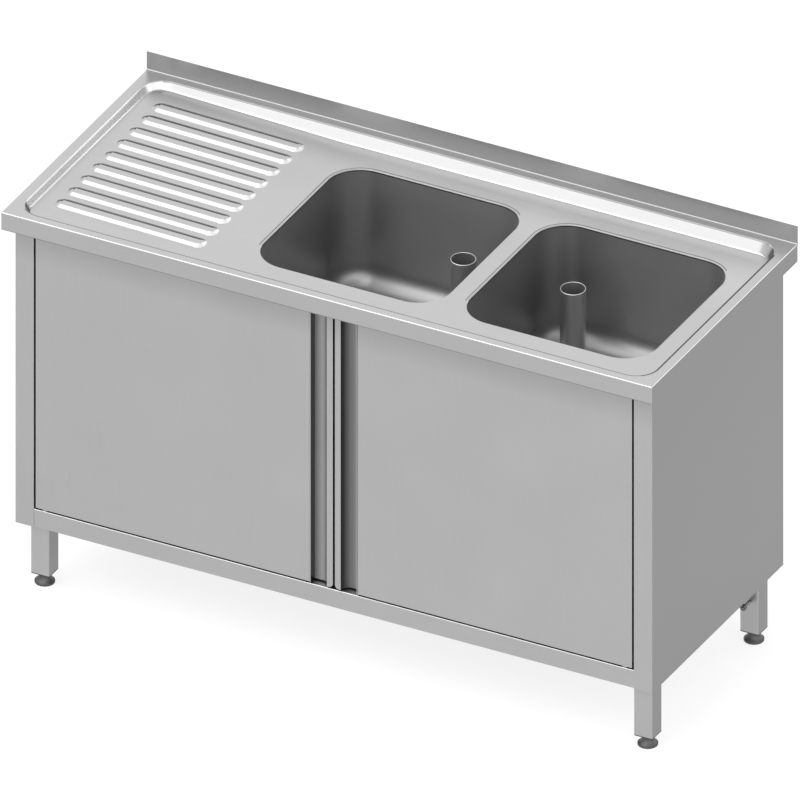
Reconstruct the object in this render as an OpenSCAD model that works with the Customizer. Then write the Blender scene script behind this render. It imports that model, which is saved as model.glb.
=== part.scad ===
// Double-bowl sink cabinet with a drainer on the left and two hinged doors, in folded stainless sheet.
// Origin at the middle of the footprint on the floor, +X along the length, +Y to the wall, +Z up.

/* [Worktop] */
// Length of the worktop
top_l = 1400; // [1300:10:1800]
// Depth of the worktop, front to wall
top_w = 600; // [580:10:700]
// Working height, floor to worktop
top_h = 850; // [800:5:900]
// Thickness of the worktop sheet
top_t = 1.2; // [1:0.1:1.5]
// Height of the upstand above the worktop
upstand_h = 40; // [30:5:100]
// Height of the skirt folded down round the worktop
apron_h = 38; // [34:1:42]
// Outer radius of the worktop's folded edges
bend_r = 3; // [2.5:0.5:4]

/* [Recessed field] */
// Width of the raised rim at the two ends
rim_side = 23; // [20:1:30]
// Width of the raised rim at the front and the wall side
rim_front = 21.5; // [18:0.5:26]
// Depth of the field round the bowls
field_depth = 23; // [20:1:26]
// Depth of the field at the drainer's outer end
drainer_depth = 14; // [10:1:18]
// Plan radius of the field's corners
field_corner_r = 45; // [30:1:60]
// Sideways run of the field's sloped walls for each millimetre of depth
wall_run = 0.56; // [0.4:0.02:0.7]
// Flat strip between the drainer's slope and the left bowl
slope_margin = 39; // [36:1:44]
// Width of the flat edge that the rim's walls leave round the welded-in field
seam_w = 2; // [1:0.5:4]

/* [Drainer ribs] */
// Number of raised ribs
rib_count = 9; // [5:1:9]
// Distance from rib to rib
rib_pitch = 50; // [46:1:51]
// Length of a rib
rib_l = 319; // [250:1:330]
// Width of a rib at its foot
rib_w = 32.5; // [26:0.5:36]
// Width of a rib's flat top
rib_top_w = 18.5; // [12:0.5:22]
// Height of a rib
rib_h = 4; // [3:0.5:6]
// Distance of the ribs from the outer end of the field
rib_inset = 42; // [36:1:50]
// Shift of the rib pattern towards the wall
rib_shift = 5.5; // [0:0.5:8]

/* [Bowls] */
// Length of a bowl along the worktop
bowl_l = 400; // [360:5:410]
// Width of a bowl, front to wall
bowl_w = 400; // [360:5:420]
// Depth of a bowl below the field
bowl_depth = 250; // [200:5:280]
// Thickness of the bowl's sheet
bowl_t = 1; // [0.8:0.1:1.5]
// Plan radius of a bowl's corners
bowl_corner_r = 68; // [60:1:80]
// Radius between a bowl's walls and floor
bowl_fillet_r = 40; // [30:1:50]
// Width of the strip between the bowls
bowl_gap = 44; // [44:1:60]
// Distance from the right bowl to the end of the field
bowl_margin = 54; // [53:1:70]
// Width of the bowl's welding flange
bowl_flange = 12; // [8:0.5:12]
// Distance of each waste from the bowl's middle, along both sides
drain_offset = 104; // [90:1:112]

/* [Wastes and standpipes] */
// Outer diameter of the standpipe
standpipe_d = 50; // [46:1:50]
// Wall of the standpipe
standpipe_t = 2; // [1.5:0.1:2.5]
// Height of the standpipe above the bowl's floor
standpipe_h = 173; // [140:1:190]
// Depth of the standpipe's seat below the bowl's floor
seat_depth = 14; // [10:1:18]
// Running clearance round the standpipe in its seat
seat_clearance = 0.3; // [0.2:0.05:0.5]
// Height of the rubber seal under the standpipe
seal_h = 3; // [2:0.5:4]
// Outer diameter of the waste's flange on the bowl floor
waste_flange_d = 80; // [76:1:84]
// Thickness of the waste's flange
waste_flange_t = 2; // [1.5:0.5:3]
// Outer diameter of the waste's threaded body
waste_body_d = 58; // [56:1:60]
// Length of the waste's body below the bowl floor
waste_body_l = 47; // [44:1:60]
// Thickness of the gasket under the bowl
gasket_t = 3; // [2:0.5:4]
// Height of the lock nut
lock_nut_h = 8; // [6:1:10]

/* [Waste pipes] */
// Outer diameter of the waste pipes
pipe_d = 50; // [40:1:50]
// Wall of the waste pipes
pipe_t = 3; // [2:0.5:4]
// Centre-line radius of the elbow
elbow_r = 40; // [34:1:45]
// Height of a slip nut
slip_nut_h = 25; // [20:1:30]
// Length of a coupling sleeve
coupling_l = 36; // [24:1:40]
// Wall of a coupling sleeve
coupling_t = 6; // [4:0.5:8]
// Outer diameter of the bottle trap
trap_d = 82; // [76:1:90]
// Height of the trap's fixed body
trap_body_h = 70; // [66:1:80]
// Height of the trap's removable cup
trap_cup_h = 55; // [40:1:70]
// Distance of the outlet pipe's end from the wall
outlet_end_gap = 2; // [1:0.5:4]
// Free space round the outlet pipe in the back panel
outlet_hole_clearance = 5; // [2:0.5:8]

/* [Cabinet] */
// Inset of the cabinet from each end of the worktop
body_inset_side = 15; // [10:1:18]
// Inset of the cabinet from the worktop's front and wall edges
body_inset_front = 30; // [26:1:36]
// Height of the cabinet's underside above the floor
body_bottom = 150; // [120:5:180]
// Thickness of the cabinet's sheet
sheet_t = 1; // [0.8:0.1:1.2]
// Width of the stiles on both sides of the doors
stile_w = 40; // [36:1:50]
// Depth of the stile's fold behind the door's edge
stile_d = 22; // [21:1:26]
// Width of the folds that hold the back panel
back_fold = 30; // [20:1:36]
// Height of the base shelf's front rail
base_h = 40; // [34:1:50]
// Thickness of the base shelf's sheet
shelf_t = 1.2; // [1:0.1:1.5]
// Set-back of the rails behind the stiles' faces
rail_setback = 1; // [0.5:0.1:1]
// Width of the fold under the front rail
shelf_lip = 15; // [10:1:20]
// Depth of the top rails, front to back
rail_d = 38; // [34:1:40]
// Height of the rear top rail
rear_rail_h = 30; // [20:1:40]
// Width of the stiffeners under the worktop
stiffener_w = 18; // [14:1:18]
// Wall of the stiffeners
stiffener_t = 1.5; // [1:0.1:2]
// Height of the stiffeners under the level part of the field
stiffener_h = 11; // [10:1:12]

/* [Doors] */
// Thickness of a door
door_t = 20; // [18:1:20]
// Thickness of the door's sheets
skin_t = 1; // [0.8:0.1:1.2]
// Gap round the doors
door_gap = 3.5; // [3:0.5:4.5]
// Gap between the two doors
centre_gap = 4; // [3:0.5:6]
// Height of the doors' top edge below the worktop
door_top_drop = 54; // [52:1:56]
// Distance of the hinge pin from the door's outer edge
hinge_inset = 18; // [17:1:22]
// Diameter of the hinge pins
hinge_pin_d = 8; // [6:1:8]
// Running clearance round the hinge pins
pin_clearance = 0.06; // [0.02:0.01:0.1]
// Length of each hinge pin inside the door
pin_hold = 18; // [12:1:24]
// Width of the hinge blocks inside the doors
hinge_block_w = 32; // [30:1:40]
// Height of the hinge blocks
hinge_block_h = 22; // [18:1:30]
// Width of the stiffener inside each door
door_stiffener_w = 60; // [40:1:100]

/* [Handles] */
// Width of the front lip of a handle
lip_w = 13; // [10:0.5:16]
// Width of the finger recess
recess_w = 34.5; // [30:0.5:45]
// Radius of the recess behind the lip
grip_r = 17; // [14:0.5:17]
// Thickness of the handle's sheet
handle_t = 1.5; // [1:0.1:2]

/* [Catches] */
// Length of a magnetic catch
catch_l = 40; // [30:1:60]
// Height of a catch
catch_h = 14; // [10:1:18]
// Depth of a catch
catch_d = 15; // [10:1:16]
// Thickness of the strike plate on the door
strike_t = 1; // [0.8:0.1:1.5]
// Distance of the catches from the middle of the cabinet
catch_offset = 20; // [16:1:60]
// Air gap between catch and strike plate
catch_air = 0.3; // [0.3:0.1:0.8]

/* [Legs and feet] */
// Outside width of the square legs
leg_w = 40; // [35:1:40]
// Wall of the legs
leg_t = 1.5; // [1.2:0.1:2]
// Inset of the legs from the cabinet's sides
leg_inset_side = 16.5; // [16.5:0.5:30]
// Inset of the legs from the cabinet's front and back
leg_inset_front = 32; // [26:1:40]
// Height of the legs' lower end above the floor
leg_clear = 25; // [22:1:30]
// Side of the mounting plate on each leg
leg_plate_w = 70; // [68:1:72]
// Thickness of the mounting plate
leg_plate_t = 3; // [2:0.5:4]
// Distance of the leg bolts from the leg's middle
leg_bolt_offset = 27; // [26.5:0.5:28]
// Thickness of the plastic plug's flange
plug_flange_t = 2; // [1:0.5:3]
// Depth of the plug inside the leg
plug_d = 25; // [20:1:35]
// Diameter of the foot's pad
foot_pad_d = 40; // [34:1:50]
// Diameter of the foot's neck
foot_neck_d = 23; // [18:1:28]
// Height of the foot's flat rim
foot_rim_h = 4; // [3:0.5:6]
// Diameter of the foot's threaded stem
foot_stem_d = 10; // [8:1:12]
// Length of the stem above the pad
foot_stem_l = 52; // [50:1:60]

/* [Fasteners and earthing] */
// Diameter of the leg bolts
leg_bolt_d = 6; // [5:1:6]
// Diameter of the rail screws
rail_screw_d = 5; // [4:1:5]
// Clearance round a bolt in its hole
bolt_clearance = 0.3; // [0.2:0.1:0.5]
// Diameter of the earthing stud
earth_d = 6; // [5:1:8]
// Length of the earthing stud
earth_l = 30; // [24:1:40]
// Height of the earthing stud above the floor
earth_z = 95; // [85:1:110]

/* [Hidden] */
$fn = 48;

// Colours of the finishes
steel_colour = [0.72, 0.72, 0.72];
plastic_grey = [0.45, 0.45, 0.46];
plastic_black = [0.08, 0.08, 0.08];
rubber_colour = [0.12, 0.12, 0.12];

// Small overrun of a cutting shape past the face that it cuts
cut = 1;
// Steps in each rounded corner of a pressed form
corner_steps = 8;
// Steps in the curve between a bowl's walls and floor
fillet_steps = 6;

// Main planes of the cabinet
half_l = top_l / 2;
half_w = top_w / 2;
side_x = half_l - body_inset_side;
front_y = -half_w + body_inset_front;
back_y = half_w - body_inset_front;
opening_x = side_x - stile_w;
apron_z = top_h - apron_h;
floor_z = top_h - field_depth;
under_z = floor_z - top_t;
carcass_top = under_z - stiffener_h;
shelf_z = body_bottom + base_h;
rail_front_y = front_y + rail_setback;
fold_y = back_y - sheet_t;
panel_y = fold_y - sheet_t;

// Field outline and the slope of the drainer's floor
field_l = top_l - 2 * rim_side;
field_w = top_w - 2 * rim_front;
right_bowl_x = half_l - rim_side - bowl_margin - bowl_l / 2;
left_bowl_x = right_bowl_x - bowl_l - bowl_gap;
slope_x = left_bowl_x - bowl_l / 2 - slope_margin;
slope_l = slope_x + half_l - rim_side;
slope_angle = atan2(field_depth - drainer_depth, slope_l);

// Bowls and wastes
bowl_z = floor_z - bowl_depth;
bowl_under_z = bowl_z - bowl_t;
drain_y = drain_offset;
left_drain_x = left_bowl_x + drain_offset;
right_drain_x = right_bowl_x - drain_offset;
drain_xs = [left_drain_x, right_drain_x];
waste_r = waste_body_d / 2;
seat_r = standpipe_d / 2 + seat_clearance;
seat_z = bowl_z - seat_depth;
waste_hole_clearance = 0.2;
nut_clearance = 0.1;
shoulder_r = standpipe_d / 2 - standpipe_t - 1;
waste_end_z = bowl_z - waste_body_l;
hex_factor = 1 / cos(30);

// Waste pipes
pipe_r = pipe_d / 2;
pipe_bore_r = pipe_r - pipe_t;
drop_l = 10;
crossover_z = waste_end_z - drop_l - elbow_r;
elbow_end_x = left_drain_x + elbow_r + coupling_l / 2;
tee_arm_x = right_drain_x - pipe_r - coupling_l - 6;
tee_end_z = crossover_z - pipe_r - coupling_l / 2 - 8;
trap_top_z = tee_end_z - coupling_l / 2 - 2;
trap_body_z = trap_top_z - trap_body_h;
trap_cup_z = trap_body_z - trap_cup_h;
trap_wall = 3;
trap_r = trap_d / 2;
outlet_z = trap_body_z + trap_body_h / 2;
outlet_joint_y = drain_y + trap_r + coupling_l / 2 + 2;
outlet_end_y = half_w - outlet_end_gap;
outlet_hole_r = pipe_r + outlet_hole_clearance;
coupling_r = pipe_r + coupling_t;

// Doors
door_z = shelf_z + door_gap;
door_top = top_h - door_top_drop;
door_h = door_top - door_z;
door_x = opening_x - door_gap;
door_y = front_y;
door_back_y = door_y + door_t;
hinge_x = door_x - hinge_inset;
hinge_y = door_y + door_t / 2;
pin_r = hinge_pin_d / 2;
bush_bore_r = pin_r + pin_clearance;
bush_wall = 2;
bush_r = bush_bore_r + bush_wall;
bush_flange_r = bush_r + 1.6;
bush_l = 5;
pin_reach = door_gap + shelf_t + bush_l - 1;
fit_gap = 0.02;
grip_x = centre_gap / 2 + lip_w + recess_w + handle_t;
recess_d = door_t - skin_t - handle_t;
rail_z = door_top + door_gap;
rail_h = carcass_top - rail_z;
rail_t = shelf_t;
rail_inner_y = rail_front_y + rail_d;
behind_stile_y = front_y + stile_d + 0.5;

// Stiffeners under the worktop, from the drainer's end to the right
flange_edge = bowl_l / 2 + bowl_flange;
first_stiffener_x = -half_l + rim_side + 40;
last_slope_stiffener_x = left_bowl_x - flange_edge - 4 - stiffener_w / 2;
slope_stiffener_step = (last_slope_stiffener_x - first_stiffener_x) / 3;
end_strip_x = half_l - rim_side - field_depth * wall_run;
stiffener_xs = [
    first_stiffener_x,
    first_stiffener_x + slope_stiffener_step,
    first_stiffener_x + 2 * slope_stiffener_step,
    last_slope_stiffener_x,
    (left_bowl_x + right_bowl_x) / 2,
    (right_bowl_x + flange_edge + end_strip_x) / 2
];
stiffener_back_y = panel_y;

// Legs and feet
leg_x = side_x - leg_inset_side - leg_w / 2;
leg_front_y = front_y + leg_inset_front + leg_w / 2;
leg_back_y = back_y - leg_inset_front - leg_w / 2;
leg_plate_z = shelf_z - shelf_t - leg_plate_t;
leg_edge_r = 3;
plug_z = leg_clear;
leg_z = leg_clear + plug_flange_t;
thread_clearance = 0.05;
leg_places = [[-leg_x, leg_front_y], [leg_x, leg_front_y], [-leg_x, leg_back_y], [leg_x, leg_back_y]];
bolt_corners = [for (x = [-1, 1], y = [-1, 1]) [x * leg_bolt_offset, y * leg_bolt_offset]];

// Sizes of the bolts' heads and nuts
leg_bolt_head_h = 4;
leg_bolt_head_r = leg_bolt_d * 0.9;
leg_nut_h = door_gap - 0.3;
rail_screw_head_h = 2.6;
rail_screw_head_r = rail_screw_d * 0.85;
rail_screw_reach = 8;
earth_nut_h = 5;
earth_nut_r = earth_d * 0.9;
earth_washer_r = earth_d * 1.05;
earth_washer_t = 1.2;
earth_tip = 3;
rail_screw_ys = [(behind_stile_y + rail_inner_y) / 2, panel_y - rail_d / 2];

// Points of a quarter circle about a corner centre
function corner_arc(cx, cy, r, start) = [
    for (i = [0 : corner_steps])
        [cx + r * cos(start + 90 * i / corner_steps), cy + r * sin(start + 90 * i / corner_steps)]
];

// Outline of a rectangle with round corners
function round_outline(l, w, r) = concat(
    corner_arc(l / 2 - r, w / 2 - r, r, 0),
    corner_arc(-l / 2 + r, w / 2 - r, r, 90),
    corner_arc(-l / 2 + r, -w / 2 + r, r, 180),
    corner_arc(l / 2 - r, -w / 2 + r, r, 270)
);

// Outline of a slot with half-round ends
function slot_outline(l, w) = [
    for (end = [0, 1], i = [0 : corner_steps])
        let (a = -90 + 180 * end + 180 * i / corner_steps)
            [(1 - 2 * end) * (l - w) / 2 + w / 2 * cos(a), w / 2 * sin(a)]
];

// An outline set at a height
function at_height(outline, z) = [for (p = outline) [p[0], p[1], z]];

// Solid through a stack of outlines with as many points each, lowest first
module loft(rings) {
    count = len(rings[0]);
    last = len(rings) - 1;
    polyhedron(
        points = [for (ring = rings, p = ring) p],
        faces = concat(
            [[for (i = [0 : count - 1]) i]],
            [[for (i = [count - 1 : -1 : 0]) last * count + i]],
            [
                for (j = [0 : last - 1], i = [0 : count - 1])
                    let (k = (i + 1) % count)
                        [j * count + i, (j + 1) * count + i, (j + 1) * count + k, j * count + k]
            ]
        ),
        convexity = 6
    );
}

// Box between two corners
module block(low, high) {
    translate(low) cube(high - low);
}

// Square with rounded corners
module round_square(w, r) {
    polygon(round_outline(w, w, r));
}

// Upright ring about the Z axis
module ring(outer_r, inner_r, z, h) {
    translate([0, 0, z])
        difference() {
            cylinder(r = outer_r, h = h);
            translate([0, 0, -cut]) cylinder(r = inner_r, h = h + 2 * cut);
        }
}

// Field-shaped solid whose walls slope outward, shrunk by inset and sunk by drop
module field_form(grow, drop, top_z) {
    bottom_z = floor_z - drop;
    rise = top_z - bottom_z;
    foot = field_depth * wall_run;
    l = field_l + 2 * (grow - foot);
    w = field_w + 2 * (grow - foot);
    r = field_corner_r - foot + grow;
    run = rise * wall_run;
    loft([
        at_height(round_outline(l, w, r), bottom_z),
        at_height(round_outline(l + 2 * run, w + 2 * run, r + run), top_z)
    ]);
}

// Everything above the drainer's sloped floor, sunk by drop
module above_floor(drop) {
    outer = half_l + cut;
    slope = (field_depth - drainer_depth) / slope_l;
    outer_z = floor_z - drop + slope * (slope_x + outer);
    translate([0, half_w, 0])
        rotate([90, 0, 0])
            linear_extrude(top_w)
                polygon([
                    [-outer, outer_z],
                    [slope_x, floor_z - drop],
                    [outer, floor_z - drop],
                    [outer, top_h + 2 * cut],
                    [-outer, top_h + 2 * cut]
                ]);
}

// One rib standing on a level floor at its middle
module rib_form() {
    root = top_t * 0.8;
    taper = (rib_w - rib_top_w) / rib_h;
    loft([
        at_height(slot_outline(rib_l + root * taper, rib_w + root * taper), -root),
        at_height(slot_outline(rib_l - rib_w + rib_top_w, rib_top_w), rib_h)
    ]);
}

// The whole rib pattern laid on the sloped floor, sunk by drop
module ribs(drop) {
    mid_x = -half_l + rim_side + rib_inset + rib_l / 2;
    mid_z = floor_z + (slope_x - mid_x) * tan(slope_angle);
    for (i = [0 : rib_count - 1])
        translate([mid_x, rib_shift + (i - (rib_count - 1) / 2) * rib_pitch, mid_z - drop])
            rotate([0, slope_angle, 0])
                rib_form();
}

// Skirt section across the length, its front edge rounded
module skirt_side_section() {
    difference() {
        translate([-half_w, apron_z]) square([top_w, apron_h]);
        translate([-half_w + bend_r, top_h - bend_r])
            difference() {
                translate([-bend_r - cut, 0]) square([bend_r + cut, bend_r + cut]);
                circle(bend_r);
            }
    }
}

// Skirt section along the length, both end edges rounded
module skirt_front_section() {
    difference() {
        translate([-half_l, apron_z]) square([top_l, apron_h]);
        for (side = [-1, 1])
            translate([side * (half_l - bend_r), top_h - bend_r])
                difference() {
                    translate([side > 0 ? 0 : -bend_r - cut, 0]) square([bend_r + cut, bend_r + cut]);
                    circle(bend_r);
                }
    }
}

// Rim and skirt as a hollow lid with folded edges
module skirt() {
    difference() {
        intersection() {
            translate([-half_l, 0, 0])
                rotate([90, 0, 90])
                    linear_extrude(top_l) skirt_side_section();
            translate([0, half_w, 0])
                rotate([90, 0, 0])
                    linear_extrude(top_w) skirt_front_section();
        }
        block([-half_l + top_t, -half_w + top_t, apron_z - cut],
              [half_l - top_t, half_w - top_t, top_h - top_t]);
    }
}

// Upright prism over the field's floor, its edge at the welded seam
module field_area() {
    inset = field_depth * wall_run + seam_w;
    translate([0, 0, apron_z])
        linear_extrude(top_h + cut - apron_z)
            polygon(round_outline(field_l - 2 * inset, field_w - 2 * inset, field_corner_r - inset));
}

module worktop() {
    color(steel_colour)
        difference() {
            union() {
                skirt();
                block([-half_l, half_w - top_t, top_h - bend_r], [half_l, half_w, top_h + upstand_h]);
                intersection() {
                    field_form(top_t, top_t, top_h - top_t / 2);
                    above_floor(top_t);
                }
            }
            intersection() {
                field_form(0, 0, top_h + cut);
                above_floor(0);
            }
            field_area();
        }
}

module recessed_field() {
    color(steel_colour)
        difference() {
            intersection() {
                field_area();
                above_floor(top_t);
            }
            difference() {
                above_floor(0);
                ribs(0);
            }
            ribs(top_t);
            for (x = [left_bowl_x, right_bowl_x])
                translate([x, 0, 0])
                    loft([
                        at_height(round_outline(bowl_l, bowl_w, bowl_corner_r), under_z - cut),
                        at_height(round_outline(bowl_l, bowl_w, bowl_corner_r), floor_z + cut)
                    ]);
        }
}

// Rings of a bowl's inside, grown by wall, from its floor to top_z
function bowl_rings(wall, top_z) = concat(
    [
        for (k = [0 : fillet_steps])
            let (
                a = 90 * k / fillet_steps,
                inset = bowl_fillet_r * (1 - sin(a)) - wall,
                z = bowl_z - wall + (bowl_fillet_r) * (1 - cos(a))
            )
                at_height(round_outline(bowl_l - 2 * inset, bowl_w - 2 * inset, bowl_corner_r - inset), z)
    ],
    [at_height(round_outline(bowl_l + 2 * wall, bowl_w + 2 * wall, bowl_corner_r + wall), top_z)]
);

module bowl(x, drain_x) {
    color(steel_colour)
        difference() {
            union() {
                translate([x, 0, 0]) loft(bowl_rings(bowl_t, under_z));
                translate([x, 0, 0])
                    loft([
                        for (z = [under_z - bowl_t, under_z])
                            at_height(round_outline(bowl_l + 2 * bowl_flange, bowl_w + 2 * bowl_flange,
                                                    bowl_corner_r + bowl_flange), z)
                    ]);
            }
            translate([x, 0, 0]) loft(bowl_rings(0, under_z + cut));
            translate([drain_x, drain_y, bowl_under_z - cut])
                cylinder(r = waste_r + waste_hole_clearance, h = bowl_t + 2 * cut);
        }
}

module left_bowl() {
    bowl(left_bowl_x, left_drain_x);
}

module right_bowl() {
    bowl(right_bowl_x, right_drain_x);
}

// Height of a stiffener's top at its lower edge under the field
function stiffener_top(x) =
    under_z + max(0, (slope_x - x - stiffener_w / 2) * tan(slope_angle));

module worktop_stiffeners() {
    color(steel_colour)
        for (x = stiffener_xs) {
            h = stiffener_top(x) - carcass_top;
            difference() {
                block([x - stiffener_w / 2, rail_front_y, carcass_top],
                      [x + stiffener_w / 2, stiffener_back_y, carcass_top + h]);
                block([x - stiffener_w / 2 + stiffener_t, rail_front_y - cut, carcass_top + stiffener_t],
                      [x + stiffener_w / 2 - stiffener_t, stiffener_back_y + cut,
                       carcass_top + h - stiffener_t]);
                for (y = rail_screw_ys)
                    translate([x, y, carcass_top - cut])
                        cylinder(d = rail_screw_d + 2 * bolt_clearance, h = stiffener_t + 2 * cut);
            }
        }
}

// Holes for the rail screws through a flange at z
module rail_screw_holes(y, z) {
    for (x = stiffener_xs)
        translate([x, y, z - cut])
            cylinder(d = rail_screw_d + 2 * bolt_clearance, h = rail_t + 2 * cut);
}

// Front rail between the stiles, with flanges that reach behind them to the side panels
module front_top_rail() {
    inner_x = side_x - sheet_t;
    color(steel_colour)
        difference() {
            union() {
                block([-opening_x, rail_front_y, rail_z], [opening_x, rail_inner_y, carcass_top]);
                block([-inner_x, behind_stile_y, rail_z], [inner_x, rail_inner_y, carcass_top]);
            }
            block([-inner_x - cut, rail_front_y + rail_t, rail_z + rail_t],
                  [inner_x + cut, rail_inner_y + cut, carcass_top - rail_t]);
            rail_screw_holes(rail_screw_ys[0], carcass_top - rail_t);
            for (side = [-1, 1])
                translate([side * hinge_x, hinge_y, rail_z - cut])
                    cylinder(r = bush_r + fit_gap, h = rail_t + 2 * cut);
        }
}

module rear_top_rail() {
    low_z = carcass_top - rear_rail_h;
    low_y = panel_y - rail_d;
    inner_x = side_x - sheet_t;
    color(steel_colour)
        difference() {
            block([-inner_x, low_y, low_z], [inner_x, panel_y, carcass_top]);
            block([-inner_x - cut, low_y - cut, low_z + rail_t],
                  [inner_x + cut, panel_y - rail_t, carcass_top - rail_t]);
            rail_screw_holes(rail_screw_ys[1], carcass_top - rail_t);
        }
}

// Plan section of the left side panel: side, stile and the fold for the back panel
module side_section() {
    translate([-side_x, front_y]) square([sheet_t, back_y - front_y]);
    translate([-side_x, front_y]) square([stile_w, sheet_t]);
    translate([-side_x, back_y - sheet_t]) square([back_fold, sheet_t]);
}

// The stile's inner fold starts at the shelf, which leaves room for the leg plate below
module left_side_panel() {
    color(steel_colour) {
        translate([0, 0, body_bottom]) linear_extrude(carcass_top - body_bottom) side_section();
        block([-opening_x - sheet_t, front_y, shelf_z], [-opening_x, front_y + stile_d, carcass_top]);
    }
}

module right_side_panel() {
    mirror([1, 0, 0]) left_side_panel();
}

module back_panel() {
    inner_x = side_x - sheet_t;
    color(steel_colour)
        difference() {
            block([-inner_x, panel_y, body_bottom], [inner_x, fold_y, carcass_top]);
            translate([right_drain_x, fold_y + cut, outlet_z])
                rotate([90, 0, 0])
                    cylinder(r = outlet_hole_r, h = sheet_t + 2 * cut);
        }
}

// Section of the base shelf across its depth, from the front rail to back_edge
module shelf_section(front_edge, back_edge) {
    translate([front_edge, shelf_z - shelf_t]) square([back_edge - front_edge, shelf_t]);
}

// Section of the front rail below the shelf with its rounded top edge
module rail_section() {
    inner_r = max(0.5, bend_r - shelf_t);
    translate([rail_front_y, body_bottom]) square([shelf_t, base_h - bend_r]);
    translate([rail_front_y, body_bottom]) square([shelf_lip, shelf_t]);
    translate([rail_front_y + bend_r, shelf_z - bend_r])
        intersection() {
            difference() {
                circle(bend_r);
                circle(inner_r);
            }
            translate([-bend_r, 0]) square(bend_r);
        }
}

module base_shelf() {
    inner_x = side_x - sheet_t;
    color(steel_colour)
        difference() {
            union() {
                translate([-opening_x, 0, 0])
                    rotate([90, 0, 90])
                        linear_extrude(2 * opening_x) {
                            rail_section();
                            shelf_section(rail_front_y + bend_r, behind_stile_y + cut);
                        }
                block([-inner_x, behind_stile_y, shelf_z - shelf_t], [inner_x, panel_y, shelf_z]);
                block([-inner_x, panel_y - shelf_t, body_bottom], [inner_x, panel_y, shelf_z - shelf_t / 2]);
            }
            for (side = [-1, 1])
                translate([side * hinge_x, hinge_y, shelf_z - shelf_t - cut])
                    cylinder(r = bush_r + fit_gap, h = shelf_t + 2 * cut);
            for (place = leg_places, corner = bolt_corners)
                translate([place[0] + corner[0], place[1] + corner[1], shelf_z - shelf_t - cut])
                    cylinder(d = leg_bolt_d + 2 * bolt_clearance, h = shelf_t + 2 * cut);
        }
}

module leg(place) {
    color(steel_colour)
        translate([place[0], place[1], 0]) {
            translate([0, 0, leg_z])
                linear_extrude(leg_plate_z - leg_z)
                    difference() {
                        round_square(leg_w, leg_edge_r);
                        square(leg_w - 2 * leg_t, center = true);
                    }
            difference() {
                translate([-leg_plate_w / 2, -leg_plate_w / 2, leg_plate_z])
                    cube([leg_plate_w, leg_plate_w, leg_plate_t]);
                for (corner = bolt_corners)
                    translate([corner[0], corner[1], leg_plate_z - cut])
                        cylinder(d = leg_bolt_d + 2 * bolt_clearance, h = leg_plate_t + 2 * cut);
            }
        }
}

module front_left_leg() {
    leg(leg_places[0]);
}

module front_right_leg() {
    leg(leg_places[1]);
}

module rear_left_leg() {
    leg(leg_places[2]);
}

// The right rear leg carries the earthing stud in a hole of its own
module rear_right_leg() {
    difference() {
        leg(leg_places[3]);
        translate([leg_x, leg_back_y - leg_w / 2 + leg_t + cut, earth_z])
            rotate([90, 0, 0])
                cylinder(d = earth_d + 2 * fit_gap, h = leg_t + 2 * cut);
    }
}

module leg_plug(place) {
    color(plastic_black)
        translate([place[0], place[1], plug_z])
            difference() {
                union() {
                    linear_extrude(plug_flange_t) round_square(leg_w, leg_edge_r);
                    linear_extrude(plug_flange_t + plug_d) square(leg_w - 2 * leg_t, center = true);
                }
                translate([0, 0, -cut])
                    cylinder(r = foot_stem_d / 2 + thread_clearance, h = plug_flange_t + plug_d + 2 * cut);
            }
}

module front_left_plug() {
    leg_plug(leg_places[0]);
}

module front_right_plug() {
    leg_plug(leg_places[1]);
}

module rear_left_plug() {
    leg_plug(leg_places[2]);
}

module rear_right_plug() {
    leg_plug(leg_places[3]);
}

// Turned foot: flat rim, cone up to the neck, threaded stem
module foot(place) {
    pad_r = foot_pad_d / 2;
    neck_r = foot_neck_d / 2;
    stem_r = foot_stem_d / 2;
    neck_z = foot_rim_h + (pad_r - neck_r) * 0.8;
    color(plastic_grey)
        translate([place[0], place[1], 0])
            rotate_extrude()
                polygon([
                    [0, 0],
                    [pad_r - 1, 0],
                    [pad_r, 1],
                    [pad_r, foot_rim_h - 1],
                    [pad_r - 1, foot_rim_h],
                    [neck_r, neck_z],
                    [neck_r, leg_clear],
                    [stem_r, leg_clear],
                    [stem_r, foot_stem_l],
                    [0, foot_stem_l]
                ]);
}

module front_left_foot() {
    foot(leg_places[0]);
}

module front_right_foot() {
    foot(leg_places[1]);
}

module rear_left_foot() {
    foot(leg_places[2]);
}

module rear_right_foot() {
    foot(leg_places[3]);
}

// Front skin of the left door, folded back at the hinge side, the top and the bottom
module left_door() {
    color(steel_colour)
        difference() {
            block([-door_x, door_y, door_z], [-grip_x, door_back_y - skin_t, door_top]);
            block([-door_x + skin_t, door_y + skin_t, door_z + skin_t],
                  [-grip_x + cut, door_back_y, door_top - skin_t]);
            translate([-hinge_x, hinge_y, door_z - cut])
                cylinder(r = pin_r + fit_gap, h = door_h + 2 * cut);
        }
}

module right_door() {
    mirror([1, 0, 0]) left_door();
}

module left_door_liner() {
    color(steel_colour)
        block([-door_x, door_back_y - skin_t, door_z], [-centre_gap / 2 - handle_t, door_back_y, door_top]);
}

module right_door_liner() {
    mirror([1, 0, 0]) left_door_liner();
}

// Upright hat section between the skin and the liner
module left_door_stiffener() {
    mid_x = -(door_x + grip_x) / 2;
    web = door_stiffener_w / 2;
    front = door_y + skin_t;
    back = door_back_y - skin_t;
    color(steel_colour)
        translate([mid_x, 0, door_z + skin_t])
            linear_extrude(door_h - 2 * skin_t) {
                translate([-web / 2, front]) square([web, skin_t]);
                for (side = [-1, 1]) {
                    translate([side * (web - skin_t) / 2 - skin_t / 2, front])
                        square([skin_t, back - front]);
                    translate([side > 0 ? web / 2 - skin_t : -web, back - skin_t])
                        square([web / 2 + skin_t, skin_t]);
                }
            }
}

module right_door_stiffener() {
    mirror([1, 0, 0]) left_door_stiffener();
}

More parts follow.
